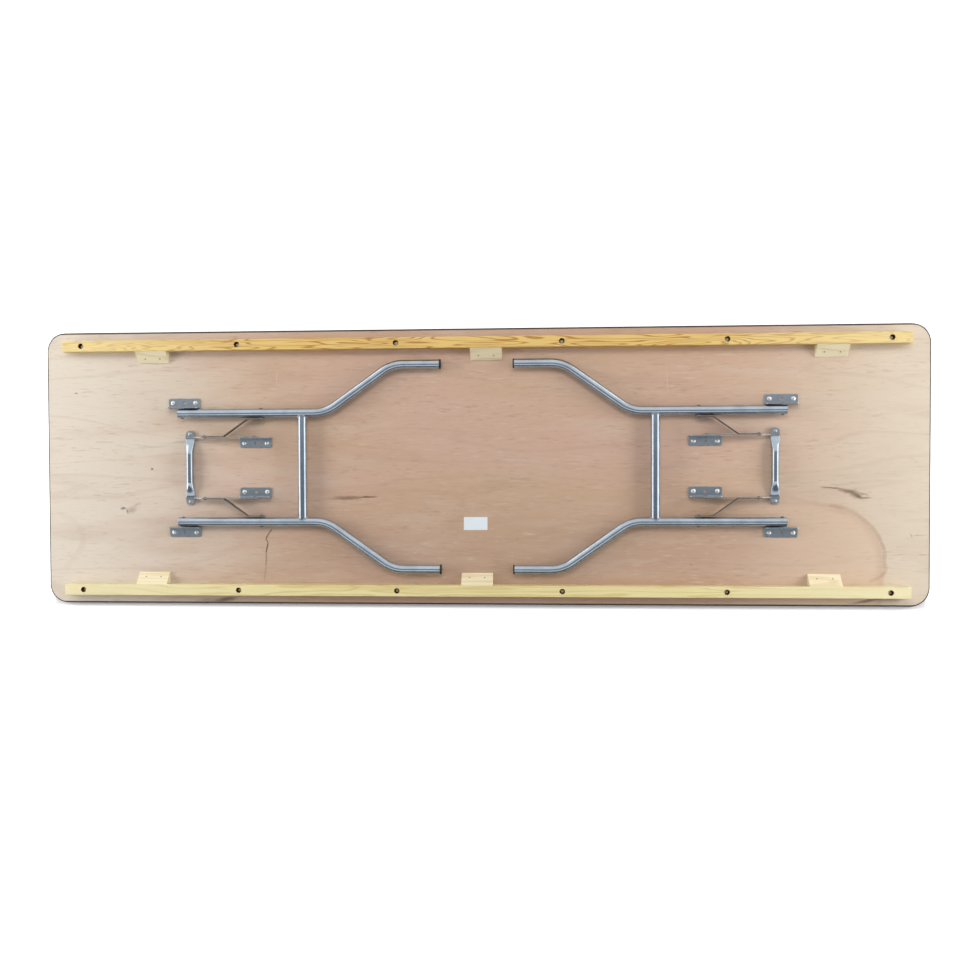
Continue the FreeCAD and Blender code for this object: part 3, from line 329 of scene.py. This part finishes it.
def veneer(finish):
    """The plywood's rotary cut face: soft clouds, short flecks, painted light on both ends and natural
    flaws.
    """
    recipe = Recipe("plywood_veneer")
    drift = recipe.noise((1.1, 3.4, 1.0), detail=3.0)
    clouds = recipe.noise((3.0, 14.0, 1.0), detail=3.0, warp=0.4)
    bands = recipe.noise((2.5, 26.0, 1.0), detail=4.0, warp=0.5)
    flecks = recipe.noise((26.0, 190.0, 1.0), detail=3.0, warp=0.6)
    fibres = recipe.noise((60.0, 1300.0, 1.0), detail=2.0)
    patches = recipe.noise((4.0, 18.0, 1.0), detail=2.0, shift=(3.1, 1.7, 0.0))
    figure = recipe.lines(recipe.noise((0.7, 5.5, 1.0), detail=2.0, warp=0.2), 7.0, 0.0, 0.10)
    # Painted light: both ends of the face are paled and their flecks calmed, standing in for the end
    # softboxes' light
    uneven = recipe.math("ADD", recipe.x, recipe.level(clouds, 0.3, 0.7, -0.06, 0.06))
    left = recipe.level(uneven, -0.40, -1.15)
    right = recipe.level(uneven, 0.60, 1.22)
    calm = recipe.math("SUBTRACT", 1.0, recipe.math("MULTIPLY", recipe.math("ADD", left, right), 0.35))
    lively = recipe.math("MULTIPLY", calm, recipe.level(patches, 0.40, 0.62, 0.45, 1.0))
    underside = recipe.level(recipe.z, FLAWS_FROM, FLAWS_FULL)
    ragged = recipe.shaken((60.0, 160.0, 1.0), (0.012, 0.006, 0.0))
    wavy = recipe.shaken((14.0, 14.0, 1.0), (0.018, 0.018, 0.0), detail=3.0)
    wandering = recipe.shaken((90.0, 90.0, 1.0), (0.005, 0.003, 0.0), detail=2.0)

    def tint(base, share, colour, strength=1.0):
        return recipe.mix(recipe.math("MULTIPLY", share, strength), base, colour)

    def stain(base, mark, shade, place):
        reach, _ = recipe.distance((mark.x, mark.y), (mark.length / 2, mark.width / 2),
                                   math.radians(mark.turn), place)
        return tint(base, recipe.level(reach, 0.1, 1.0, mark.depth, 0.0), shade, underside)

    def trail(base, line, shade, place):
        share = 0.0
        for first, second, depth in zip(line.points, line.points[1:], line.depths):
            stretch = Vector(second) - Vector(first)
            _, local = recipe.distance((Vector(first) + Vector(second)) / 2,
                                       (stretch.length * 0.6, line.width / 2),
                                       math.atan2(stretch.y, stretch.x), place)
            along, across, _ = recipe.add("ShaderNodeSeparateXYZ", {"Vector": local}).outputs
            reach = recipe.math("ADD", recipe.math("POWER", recipe.math("ABSOLUTE", along), 6.0),
                                recipe.math("MULTIPLY", across, across))
            share = recipe.math("MAXIMUM", share, recipe.level(reach, 0.05, 1.0, depth, 0.0))
        return tint(base, share, shade, underside)

    colour = recipe.mix(recipe.level(drift, 0.35, 0.65), finish.veneer_rosy, finish.veneer_sandy)
    dusky_front = recipe.math("MULTIPLY", recipe.level(recipe.y, 0.02, -0.30, 0.0, 0.40),
                              recipe.level(recipe.math("ABSOLUTE", recipe.x), 1.0, 0.5))
    colour = tint(colour, dusky_front, finish.veneer_dark)
    # Painted light on the two ends
    colour = tint(colour, left, finish.veneer_pale_streak_and_lit_end, 0.9)
    colour = tint(colour, right, finish.veneer_lit_right_end, 0.9)
    colour = tint(colour, recipe.level(clouds, 0.50, 0.80, 0.0, 0.30), finish.veneer_dark)
    colour = tint(colour, recipe.level(clouds, 0.45, 0.20, 0.0, 0.30), finish.veneer_pale_streak_and_lit_end)
    colour = tint(colour, recipe.level(bands, 0.45, 0.75, 0.0, 0.14), finish.veneer_pale_streak_and_lit_end)
    colour = tint(colour, recipe.level(flecks, 0.52, 0.78, 0.0, 0.72), finish.veneer_dark, lively)
    colour = tint(colour, recipe.level(flecks, 0.44, 0.24, 0.0, 0.42), finish.veneer_pale_streak_and_lit_end, lively)
    colour = tint(colour, recipe.level(fibres, 0.50, 0.75, 0.0, 0.12), finish.veneer_dark, calm)
    colour = tint(colour, figure, finish.veneer_dark, 0.15)

    _, local = recipe.distance(HEART_CENTRE, HEART_HALF_SIZES, 0.0, wavy)
    powers = [recipe.math("POWER", recipe.math("ABSOLUTE", part), HEART_POWER)
              for part in recipe.add("ShaderNodeSeparateXYZ", {"Vector": local}).outputs[:2]]
    span = recipe.math("POWER", recipe.math("ADD", *powers), 1.0 / HEART_POWER)
    inside = recipe.math("MULTIPLY", recipe.level(span, 1.03, 0.97), recipe.level(recipe.x, 0.72, 0.95))
    rosy = recipe.level(span, 0.88, 1.0, 0.0, 0.30)
    inside = recipe.math("MULTIPLY", inside, underside)
    colour = tint(colour, inside, finish.veneer_amber, 0.40)
    colour = tint(colour, recipe.math("MULTIPLY", inside, rosy), finish.veneer_dark)
    colour = trail(colour, RIGHT_RING, finish.veneer_dark, wavy)
    colour = trail(colour, LEFT_RING, finish.veneer_dark, wavy)
    colour = trail(colour, CRACK, finish.veneer_flaw, wandering)
    for mark in DARK_MARKS:
        colour = stain(colour, mark, finish.veneer_flaw, ragged)
    for mark in LIGHT_MARKS:
        colour = stain(colour, mark, finish.veneer_pale_streak_and_lit_end, recipe.place)
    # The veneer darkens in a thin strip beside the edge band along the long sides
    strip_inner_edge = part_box("plywood_panel")[1].y - DARK_STRIP_WIDTH
    dark_strip = recipe.level(recipe.math("ABSOLUTE", recipe.y), strip_inner_edge - DARK_STRIP_MARGIN, strip_inner_edge, 0.0, 0.85)
    colour = tint(colour, dark_strip, finish.veneer_flaw, underside)
    roughness = recipe.level(flecks, 0.3, 0.7, 0.40, 0.50)
    return recipe.finish(colour, roughness, fibres, 0.0002, coat_weight=0.5, coat_roughness=0.45)


def screw_stations(least_gap=0.1):
    """Where the rail screws stand along X, read from the frame."""
    places = sorted(vertex.co.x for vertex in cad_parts["rail_screws"].data.vertices)
    groups = [[places[0]]]
    for place in places[1:]:
        if place - groups[-1][-1] > least_gap:
            groups.append([])
        groups[-1].append(place)
    return [(group[0] + group[-1]) / 2 for group in groups]


def pine(name, early, late, rings, contrast, blotches=0.3, pale=None, bore_painted_shade=None):
    """Pine along X, with amber late wood lines, fine fibres and, on a rail, painted light on the ends and
    painted shade in the screw holes.
    """
    recipe = Recipe(name)
    wander = recipe.noise((2.2, 26.0, 26.0), detail=2.0, warp=0.3)
    grain = recipe.lines(wander, rings, 0.02, 0.24)
    fibres = recipe.noise((26.0, 1500.0, 1500.0), detail=2.0)
    blush = recipe.noise((2.5, 30.0, 30.0), detail=2.0)
    colour = recipe.mix(recipe.math("MULTIPLY", grain, contrast), early, late)
    colour = recipe.mix(recipe.level(blush, 0.45, 0.7, 0.0, blotches), colour, late)
    colour = recipe.mix(recipe.level(fibres, 0.5, 0.75, 0.0, 0.25), colour, late)
    # Painted light: the rail's ends are paled
    if pale:
        ends = recipe.level(recipe.math("ABSOLUTE", recipe.x), 0.5, 1.15, 0.0, 0.6)
        colour = recipe.mix(ends, colour, pale)
    if bore_painted_shade:
        low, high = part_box("rear_rail")
        line = (low.y + high.y) / 2
        across = recipe.math("SUBTRACT", recipe.math("ABSOLUTE", recipe.y), line)
        reach = 1.0
        for station in screw_stations():
            along = recipe.math("SUBTRACT", recipe.x, station)
            square = recipe.math("ADD", recipe.math("MULTIPLY", along, along),
                                 recipe.math("MULTIPLY", across, across))
            reach = recipe.math("MINIMUM", reach, recipe.math("SQRT", square))
        # Painted shade inside the screw holes, below their lip
        inside = recipe.math("MULTIPLY",
                             recipe.level(reach, BORE_RADIUS * 1.03, BORE_RADIUS * 1.06, 1.0, 0.0),
                             recipe.level(recipe.z, high.z - BORE_LIP, high.z - BORE_LIP / 6, 1.0, 0.0))
        colour = recipe.mix(inside, colour, bore_painted_shade)
    return recipe.finish(colour, recipe.level(fibres, 0.3, 0.7, 0.48, 0.62), fibres, 0.0003)


def steel(name, colour, roughness, drawn, relief=0.000006, metal=1.0):
    """Bare satin steel: drawing lines, cloudy patches and uneven gloss."""
    recipe = Recipe(name)
    clouds = recipe.noise(even(26.0), detail=4.0)
    lines = recipe.noise(drawn, detail=3.0)
    shade = tuple(share * STEEL_SHADE for share in colour)
    worn = recipe.mix(recipe.level(clouds, 0.3, 0.7), shade, colour)
    worn = recipe.mix(recipe.level(lines, 0.5, 0.8, 0.0, 0.35), worn, shade)
    gloss = recipe.level(clouds, 0.25, 0.75, roughness + 0.02, roughness - 0.02)
    return recipe.finish(worn, gloss, lines, relief, metallic=metal)


def zinc(name, colour, roughness):
    """Zinc plate with faint spangles and dull patches."""
    recipe = Recipe(name)
    cells = recipe.add("ShaderNodeTexVoronoi", {"Vector": recipe.place, "Scale": 240.0})
    spangle = recipe.add("ShaderNodeSeparateColor", {"Color": cells.outputs["Color"]}).outputs[0]
    dull = recipe.noise(even(45.0), detail=4.0)
    dark = tuple(share * ZINC_SHADE for share in colour)
    worn = recipe.mix(recipe.level(dull, 0.35, 0.7), colour, dark)
    worn = recipe.mix(recipe.math("MULTIPLY", spangle, 0.12), worn, dark)
    gloss = recipe.math("ADD", recipe.level(dull, 0.3, 0.7, roughness - 0.04, roughness + 0.05),
                        recipe.math("MULTIPLY", spangle, 0.05))
    return recipe.finish(worn, gloss, dull, 0.00008, edge=0.0012, metallic=1.0)


def moulded(name, colour, roughness, cells, relief, shine=0.5):
    """Moulded plastic with a fine grain and pale scuffs."""
    recipe = Recipe(name)
    grain = recipe.noise(even(cells), detail=2.0)
    scuffs = recipe.noise((14.0, 60.0, 60.0), detail=4.0)
    pale = tuple(min(1.0, share * 2.2 + 0.01) for share in colour)
    worn = recipe.mix(recipe.level(scuffs, 0.58, 0.8, 0.0, 0.6), colour, pale)
    return recipe.finish(worn, recipe.level(scuffs, 0.3, 0.8, roughness, roughness + 0.15), grain, relief,
                         specular_ior_level=shine)


def paper(finish):
    """Blank label paper with soft fibres and a slightly yellowed rim."""
    recipe = Recipe("label_paper")
    low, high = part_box("blank_label")
    fibres = recipe.noise(even(700.0), detail=3.0)
    clouds = recipe.noise(even(60.0), detail=2.0)
    middle = (low + high) / 2
    across = recipe.math("ABSOLUTE", recipe.math("SUBTRACT", recipe.y, middle.y))
    along = recipe.math("ABSOLUTE", recipe.math("SUBTRACT", recipe.x, middle.x))
    half = high - middle
    rim = recipe.math("MAXIMUM", recipe.level(across, half.y - LABEL_RIM, half.y),
                      recipe.level(along, half.x - LABEL_RIM, half.x))
    yellowed = tuple(share * tint for share, tint in zip(finish.paper, LABEL_YELLOW))
    colour = recipe.mix(recipe.level(clouds, 0.4, 0.7, 0.0, 0.25), finish.paper, yellowed)
    colour = recipe.mix(recipe.math("MULTIPLY", rim, 0.5), colour, yellowed)
    return recipe.finish(colour, recipe.level(fibres, 0.3, 0.7, 0.45, 0.6), fibres, 0.00006)


def dress(material, *names):
    """Give CAD nodes a finish."""
    for name in names:
        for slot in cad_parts[name].material_slots:
            slot.material = material


def four(name):
    """The names of a piece that stands at all four hinges."""
    return [f"{side}_{row}_{name}" for side in SIDES for row in ROWS]


def pair(name):
    """The names of a piece that each trestle has once."""
    return [f"{side}_{name}" for side in SIDES]


class TABLE_OT_top(bpy.types.Operator):
    """Finish the plywood panel, its edge band and the blank label"""
    bl_idname = "folding_table.top"
    bl_label = "Finish the Top"

    def execute(self, context):
        finish = context.scene.table_finish
        dress(veneer(finish), "plywood_panel")
        dress(moulded("edge_band_vinyl", finish.band, 0.42, 900.0, 0.00002, shine=0.2), "edge_band")
        dress(paper(finish), "blank_label")
        return {"FINISHED"}


class TABLE_OT_rails(bpy.types.Operator):
    """Finish both rails, the glue blocks and their fasteners"""
    bl_idname = "folding_table.rails"
    bl_label = "Finish the Rails"

    def execute(self, context):
        finish = context.scene.table_finish
        dress(pine("rear_rail_pine", finish.rear_pine, finish.rear_pine_grain, 18.0, 0.95,
                   pale=finish.rear_pine_lit_ends, bore_painted_shade=finish.bore_painted_shade), "rear_rail")
        dress(pine("front_rail_pine", finish.front_pine, finish.front_pine_grain, 7.0, 0.55,
                   blotches=0.45, pale=finish.front_pine_lit_ends, bore_painted_shade=finish.bore_painted_shade), "front_rail")
        blocks = [f"{row}_{place}_block" for row in ROWS for place in ("left", "middle", "right")]
        dress(pine("block_pine", finish.block_pine, finish.block_pine_grain, 6.0, 0.6), *blocks)
        dress(steel("screw_steel", finish.screw, 0.25, even(300.0), metal=0.0), "rail_screws")
        dress(steel("nail_steel", finish.nail, 0.40, even(300.0)), "block_nails")
        return {"FINISHED"}


class TABLE_OT_legs(bpy.types.Operator):
    """Finish the leg tubes, crossbars and foot caps"""
    bl_idname = "folding_table.legs"
    bl_label = "Finish the Legs"

    def execute(self, context):
        finish = context.scene.table_finish
        dress(steel("leg_tube_steel", finish.tube, 0.22, (4.0, 500.0, 500.0)), *four("leg_tube"))
        dress(steel("crossbar_steel", finish.tube, 0.18, (500.0, 4.0, 500.0)), *pair("crossbar"),
              *pair("spreader_bar"))
        dress(moulded("foot_cap_plastic", finish.cap, 0.45, 700.0, 0.00008), *four("foot_cap"))
        return {"FINISHED"}


class TABLE_OT_hinges(bpy.types.Operator):
    """Finish the brackets and braces with their screws, rivets, washers and bolts"""
    bl_idname = "folding_table.hinges"
    bl_label = "Finish the Hinges and Braces"

    def execute(self, context):
        finish = context.scene.table_finish
        dress(zinc("bracket_zinc", finish.plate, 0.30), *four("hinge_bracket"), *four("brace_bracket"))
        dress(zinc("table_link_zinc", finish.link, 0.40), *four("table_link"))
        # The leg links' darker zinc is painted shade
        dress(zinc("leg_link_zinc_painted_shade", finish.strap_painted_shade, 0.44), *four("leg_link"))
        dress(steel("bracket_screw_steel", finish.fastener, 0.32, even(250.0), metal=0.75),
              *pair("bracket_screws"))
        dress(steel("bolt_steel", finish.bolt, 0.32, even(250.0), metal=0.75),
              *pair("spreader_bolts"))
        dull = steel("rivet_steel", finish.rivet, 0.48, even(250.0))
        groups = ("hinge_rivets", "link_rivets", "brace_rivets", "inner_knee_rivets", "outer_knee_rivets",
                  "hinge_washers", "link_spacers")
        for name in groups:
            dress(dull, *pair(name))
        return {"FINISHED"}


def weld_tree():
    """Geometry nodes for the two welds of one crossbar: rings of beads along the saddle curves."""
    tree = bpy.data.node_groups.new("Crossbar Welds", "GeometryNodeTree")
    tree.is_modifier = True
    face = tree.interface
    sockets = {}
    for name, kind in (("Centre", "NodeSocketVector"), ("Bar Radius", "NodeSocketFloat"),
                       ("Tube Radius", "NodeSocketFloat"), ("Hip Line", "NodeSocketFloat"),
                       ("Bead Radius", "NodeSocketFloat"), ("Unevenness", "NodeSocketFloat"),
                       ("Beads", "NodeSocketInt"), ("Seed", "NodeSocketInt"),
                       ("Finish", "NodeSocketMaterial")):
        sockets[name] = face.new_socket(name, in_out="INPUT", socket_type=kind).identifier
    face.new_socket("Geometry", in_out="OUTPUT", socket_type="NodeSocketGeometry")

    def add(kind, inputs=None, **settings):
        node = tree.nodes.new(kind)
        for name, value in settings.items():
            setattr(node, name, value)
        for key, value in (inputs or {}).items():
            if isinstance(value, bpy.types.NodeSocket):
                tree.links.new(value, node.inputs[key])
            else:
                node.inputs[key].default_value = value
        return node

    def math_of(operation, first, second=0.0):
        return add("ShaderNodeMath", {0: first, 1: second}, operation=operation).outputs[0]

    given = add("NodeGroupInput").outputs
    ring = add("GeometryNodeCurvePrimitiveCircle", {"Resolution": 96, "Radius": given["Bar Radius"]})
    spot = add("ShaderNodeSeparateXYZ", {0: add("GeometryNodeInputPosition").outputs[0]}).outputs
    square = math_of("SUBTRACT", math_of("MULTIPLY", given["Tube Radius"], given["Tube Radius"]),
                     math_of("MULTIPLY", spot[1], spot[1]))
    saddle = math_of("SUBTRACT", given["Hip Line"], math_of("SQRT", square))
    place = add("ShaderNodeCombineXYZ", {0: spot[0], 1: saddle, 2: spot[1]})
    curve = add("GeometryNodeSetPosition", {"Geometry": ring.outputs[0], "Position": place.outputs[0]})
    points = add("GeometryNodeCurveToPoints", {"Curve": curve.outputs[0], "Count": given["Beads"]},
                 mode="COUNT")
    bead = add("GeometryNodeMeshIcoSphere", {"Radius": given["Bead Radius"], "Subdivisions": 3})
    spread = add("FunctionNodeRandomValue", {2: math_of("SUBTRACT", 1.0, given["Unevenness"]),
                                             3: math_of("ADD", 1.0, given["Unevenness"]),
                                             "Seed": given["Seed"]}, data_type="FLOAT")
    beads = add("GeometryNodeInstanceOnPoints", {"Points": points.outputs["Points"],
                                                 "Instance": bead.outputs["Mesh"],
                                                 "Scale": spread.outputs[1]})
    other = add("GeometryNodeTransform", {"Geometry": beads.outputs[0], "Rotation": (0.0, 0.0, math.pi)})
    both = add("GeometryNodeJoinGeometry")
    for welds in (beads, other):
        tree.links.new(welds.outputs[0], both.inputs[0])
    moved = add("GeometryNodeTransform", {"Geometry": both.outputs[0], "Translation": given["Centre"]})
    whole = add("GeometryNodeRealizeInstances", {"Geometry": moved.outputs[0]})
    smooth = add("GeometryNodeSetShadeSmooth", {"Geometry": whole.outputs[0]})
    coated = add("GeometryNodeSetMaterial", {"Geometry": smooth.outputs[0], "Material": given["Finish"]})
    add("NodeGroupOutput", {0: coated.outputs[0]})
    return tree, sockets


class TABLE_OT_welds(bpy.types.Operator):
    """Add the weld beads where the crossbars meet the leg tubes"""
    bl_idname = "folding_table.welds"
    bl_label = "Add the Welds"

    def execute(self, context):
        sizes = context.scene.table_welds
        finish = steel("weld_steel", context.scene.table_finish.weld, 0.34, even(400.0), 0.0001)
        tree, sockets = weld_tree()
        for side in SIDES:
            tube_low, tube_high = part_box(f"{side}_rear_leg_tube")
            bar_low, bar_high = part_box(f"{side}_crossbar")
            tube_radius = (tube_high.z - tube_low.z) / 2
            maker = bpy.data.objects.new(f"{side}_weld_maker", bpy.data.meshes.new("weld_maker"))
            context.scene.collection.objects.link(maker)
            modifier = maker.modifiers.new("Welds", "NODES")
            modifier.node_group = tree
            values = {"Centre": (bar_low + bar_high) / 2, "Bar Radius": (bar_high.x - bar_low.x) / 2,
                      "Tube Radius": tube_radius, "Hip Line": tube_low.y + tube_radius,
                      "Bead Radius": sizes.bead_radius, "Unevenness": sizes.unevenness,
                      "Beads": sizes.bead_count, "Seed": sizes.seed, "Finish": finish}
            for name, value in values.items():
                modifier[sockets[name]] = value
            graph = context.evaluated_depsgraph_get()
            mesh = bpy.data.meshes.new_from_object(maker.evaluated_get(graph))
            bpy.data.objects.remove(maker)
            if not mesh.polygons:
                raise RuntimeError(f"the {side} welds are empty")
            mesh.materials.clear()
            mesh.materials.append(finish)
            welds = bpy.data.objects.new(f"{side}_crossbar_welds", mesh)
            context.scene.collection.objects.link(welds)
            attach(welds, f"{side}_leg")
        return {"FINISHED"}


# A flat rectangle of the studio: its middle and its two half edges, in metres
Sheet = namedtuple("Sheet", "centre along across")
FLOOR = Sheet((0.0, 0.0, -0.0005), (8.0, 0.0, 0.0), (0.0, 8.0, 0.0))
OVERHEAD_CARD = Sheet((0.0, 1.7, 4.5), (7.5, 0.0, 0.0), (0.0, 3.3, 0.0))
FRONT_CARD = Sheet((0.0, -3.6, 2.0), (5.0, 0.0, 0.0), (0.0, 0.0, 1.6))
END_CARDS = {side: Sheet((place, 1.4, 1.15), (0.0, 3.6, 0.0), (0.0, 0.0, 1.15))
             for side, place in zip(SIDES, (-3.2, 3.2))}
# Where along Y the overhead card begins to fade to white, and where it is white
OVERHEAD_FADE = (-0.35, 2.0)
# How bright the floor looks beside its shadow, the distances from the table at which its glow starts
# and is full, and how much nearer it starts behind and beside the table than before it, in metres
FLOOR_GLOW = 0.75
GLOW_START = 0.004
GLOW_FULL = 0.024
GLOW_LEAD = 0.014
# Softboxes: place, width and height in metres
REAR_SOFTBOX = ((0.0, 2.0, 3.6), 2.6, 1.2)
LEFT_SOFTBOX = ((-3.0, 0.2, 1.1), 2.4, 1.0)
RIGHT_SOFTBOX = ((3.0, 0.2, 1.1), 2.4, 1.0)


def staged_plane(name, sheet, material):
    """A sheet of the studio, not part of the table."""
    centre, along, across = (Vector(part) for part in sheet)
    corners = [centre - along - across, centre + along - across, centre + along + across,
               centre - along + across]
    mesh = bpy.data.meshes.new(name)
    mesh.from_pydata(corners, [], [(0, 1, 2, 3)])
    mesh.materials.append(material)
    plane = bpy.data.objects.new(name, mesh)
    bpy.context.scene.collection.objects.link(plane)
    return plane


def ray_share(tree):
    """1 for rays that show the background: from the camera, or by way of metal or glass."""
    path = tree.nodes.new("ShaderNodeLightPath").outputs
    share = path["Is Camera Ray"]
    for name in ("Is Glossy Ray", "Is Transmission Ray"):
        both = tree.nodes.new("ShaderNodeMath")
        both.operation = "MAXIMUM"
        tree.links.new(share, both.inputs[0])
        tree.links.new(path[name], both.inputs[1])
        share = both.outputs[0]
    return share


def floor_material():
    """White floor that reads as white to the camera and keeps the shadow, widest before the table."""
    recipe = Recipe("studio_floor")
    low, high = CAD_BOX
    before = recipe.math("SUBTRACT", low.y, recipe.y)
    behind = recipe.math("SUBTRACT", recipe.y, high.y)
    beside = recipe.math("SUBTRACT", recipe.math("ABSOLUTE", recipe.x), high.x)
    elsewhere = recipe.math("ADD", recipe.math("MAXIMUM", behind, beside), GLOW_LEAD)
    away = recipe.math("MAXIMUM", before, elsewhere)
    glow = recipe.level(away, GLOW_START, GLOW_FULL, 0.0, FLOOR_GLOW)
    recipe.feed(recipe.shader.inputs["Emission Strength"],
                recipe.math("MULTIPLY", ray_share(recipe.tree), glow))
    recipe.feed(recipe.shader.inputs["Emission Color"], (1.0, 1.0, 1.0))
    return recipe.finish((0.86, 0.86, 0.86), 0.9, specular_ior_level=0.0)


def card_material(name, colour, fade=None, strength=1.0):
    """Card of a set tone, fading to white between two places along Y if they are given."""
    recipe = Recipe(name)
    tint = recipe.mix(recipe.level(recipe.y, *fade), colour, (1.0, 1.0, 1.0)) if fade else (*colour, 1.0)
    recipe.feed(recipe.shader.inputs["Emission Color"], tint)
    return recipe.finish((0.0, 0.0, 0.0), 1.0, emission_strength=strength)


def hide_from_all_but_metal(card):
    """Leave a card to mirror reflections alone."""
    for kind in ("camera", "diffuse", "transmission", "volume_scatter", "shadow"):
        setattr(card, f"visible_{kind}", False)


def softbox(name, place, width, height, power):
    """An area lamp aimed at the table's centre."""
    lamp = bpy.data.lights.new(name, "AREA")
    lamp.shape = "RECTANGLE"
    lamp.size = width
    lamp.size_y = height
    lamp.energy = power
    holder = bpy.data.objects.new(name, lamp)
    holder.location = place
    holder.rotation_euler = (-Vector(place)).to_track_quat("-Z", "Y").to_euler()
    bpy.context.scene.collection.objects.link(holder)
    return holder


class TABLE_OT_studio(bpy.types.Operator):
    """Set up floor, room light, softboxes and camera"""
    bl_idname = "folding_table.studio"
    bl_label = "Set Up the Studio"

    def execute(self, context):
        scene = context.scene
        studio = scene.table_studio
        scene.view_settings.view_transform = "Standard"
        staged_plane("studio_floor", FLOOR, floor_material())
        overhead = staged_plane("overhead_card", OVERHEAD_CARD,
                                card_material("overhead_card", studio.overhead_card, OVERHEAD_FADE))
        front = staged_plane("front_card", FRONT_CARD, card_material("front_card", studio.front_card))
        white = card_material("end_card", (1.0, 1.0, 1.0), strength=studio.end_card)
        ends = [staged_plane(f"{side}_card", sheet, white) for side, sheet in END_CARDS.items()]
        for card in (overhead, front, *ends):
            hide_from_all_but_metal(card)
        lamps = (softbox("rear_softbox", *REAR_SOFTBOX, studio.key_power),
                 softbox("left_softbox", *LEFT_SOFTBOX, studio.side_power),
                 softbox("right_softbox", *RIGHT_SOFTBOX, studio.side_power))
        for lamp in lamps:
            lamp.visible_glossy = False
        self.room(scene, studio.fill)
        self.camera(scene, studio)
        return {"FINISHED"}

    def room(self, scene, fill):
        world = bpy.data.worlds.new("studio_room")
        world.use_nodes = True
        tree = world.node_tree
        background = tree.nodes["Background"]
        background.inputs["Color"].default_value = (1.0, 1.0, 1.0, 1.0)
        strength = tree.nodes.new("ShaderNodeMapRange")
        tree.links.new(ray_share(tree), strength.inputs["Value"])
        strength.inputs["To Min"].default_value = fill
        strength.inputs["To Max"].default_value = 1.0
        tree.links.new(strength.outputs[0], background.inputs["Strength"])
        scene.world = world

    def camera(self, scene, studio):
        eye = bpy.data.cameras.new("photo_camera")
        eye.sensor_width = 36.0
        eye.lens = studio.lens
        holder = bpy.data.objects.new("photo_camera", eye)
        scene.collection.objects.link(holder)
        holder.matrix_world = (Matrix.Translation(studio.camera_place)
                               @ Matrix.Rotation(-studio.camera_yaw, 4, "Y")
                               @ Matrix.Rotation(-studio.camera_pitch, 4, "X")
                               @ Matrix.Rotation(-studio.camera_roll, 4, "Z"))
        scene.camera = holder


OPERATORS = (TABLE_OT_top, TABLE_OT_rails, TABLE_OT_legs, TABLE_OT_hinges, TABLE_OT_welds, TABLE_OT_studio)


class TABLE_PT_sidebar(bpy.types.Panel):
    """Sidebar with the steps of the table's finish"""
    bl_idname = "TABLE_PT_sidebar"
    bl_label = "Folding Table"
    bl_space_type = "VIEW_3D"
    bl_region_type = "UI"
    bl_category = "Table"

    def draw(self, context):
        for operator in OPERATORS:
            self.layout.operator(operator.bl_idname)
        for group in (context.scene.table_finish, context.scene.table_welds, context.scene.table_studio):
            for name in group.__annotations__:
                self.layout.prop(group, name)


GROUPS = {"table_finish": TableFinish, "table_welds": WeldSizes, "table_studio": StudioSettings}


def register():
    for kind in (*GROUPS.values(), *OPERATORS, TABLE_PT_sidebar):
        bpy.utils.register_class(kind)
    for name, group in GROUPS.items():
        setattr(bpy.types.Scene, name, bpy.props.PointerProperty(type=group))


def unregister():
    for name in GROUPS:
        delattr(bpy.types.Scene, name)
    for kind in reversed((*GROUPS.values(), *OPERATORS, TABLE_PT_sidebar)):
        bpy.utils.unregister_class(kind)


def main():
    register()
    bpy.ops.folding_table.top()
    bpy.ops.folding_table.rails()
    bpy.ops.folding_table.legs()
    bpy.ops.folding_table.hinges()
    bpy.ops.folding_table.welds()
    bpy.ops.folding_table.studio()


if __name__ == "__main__":
    main()
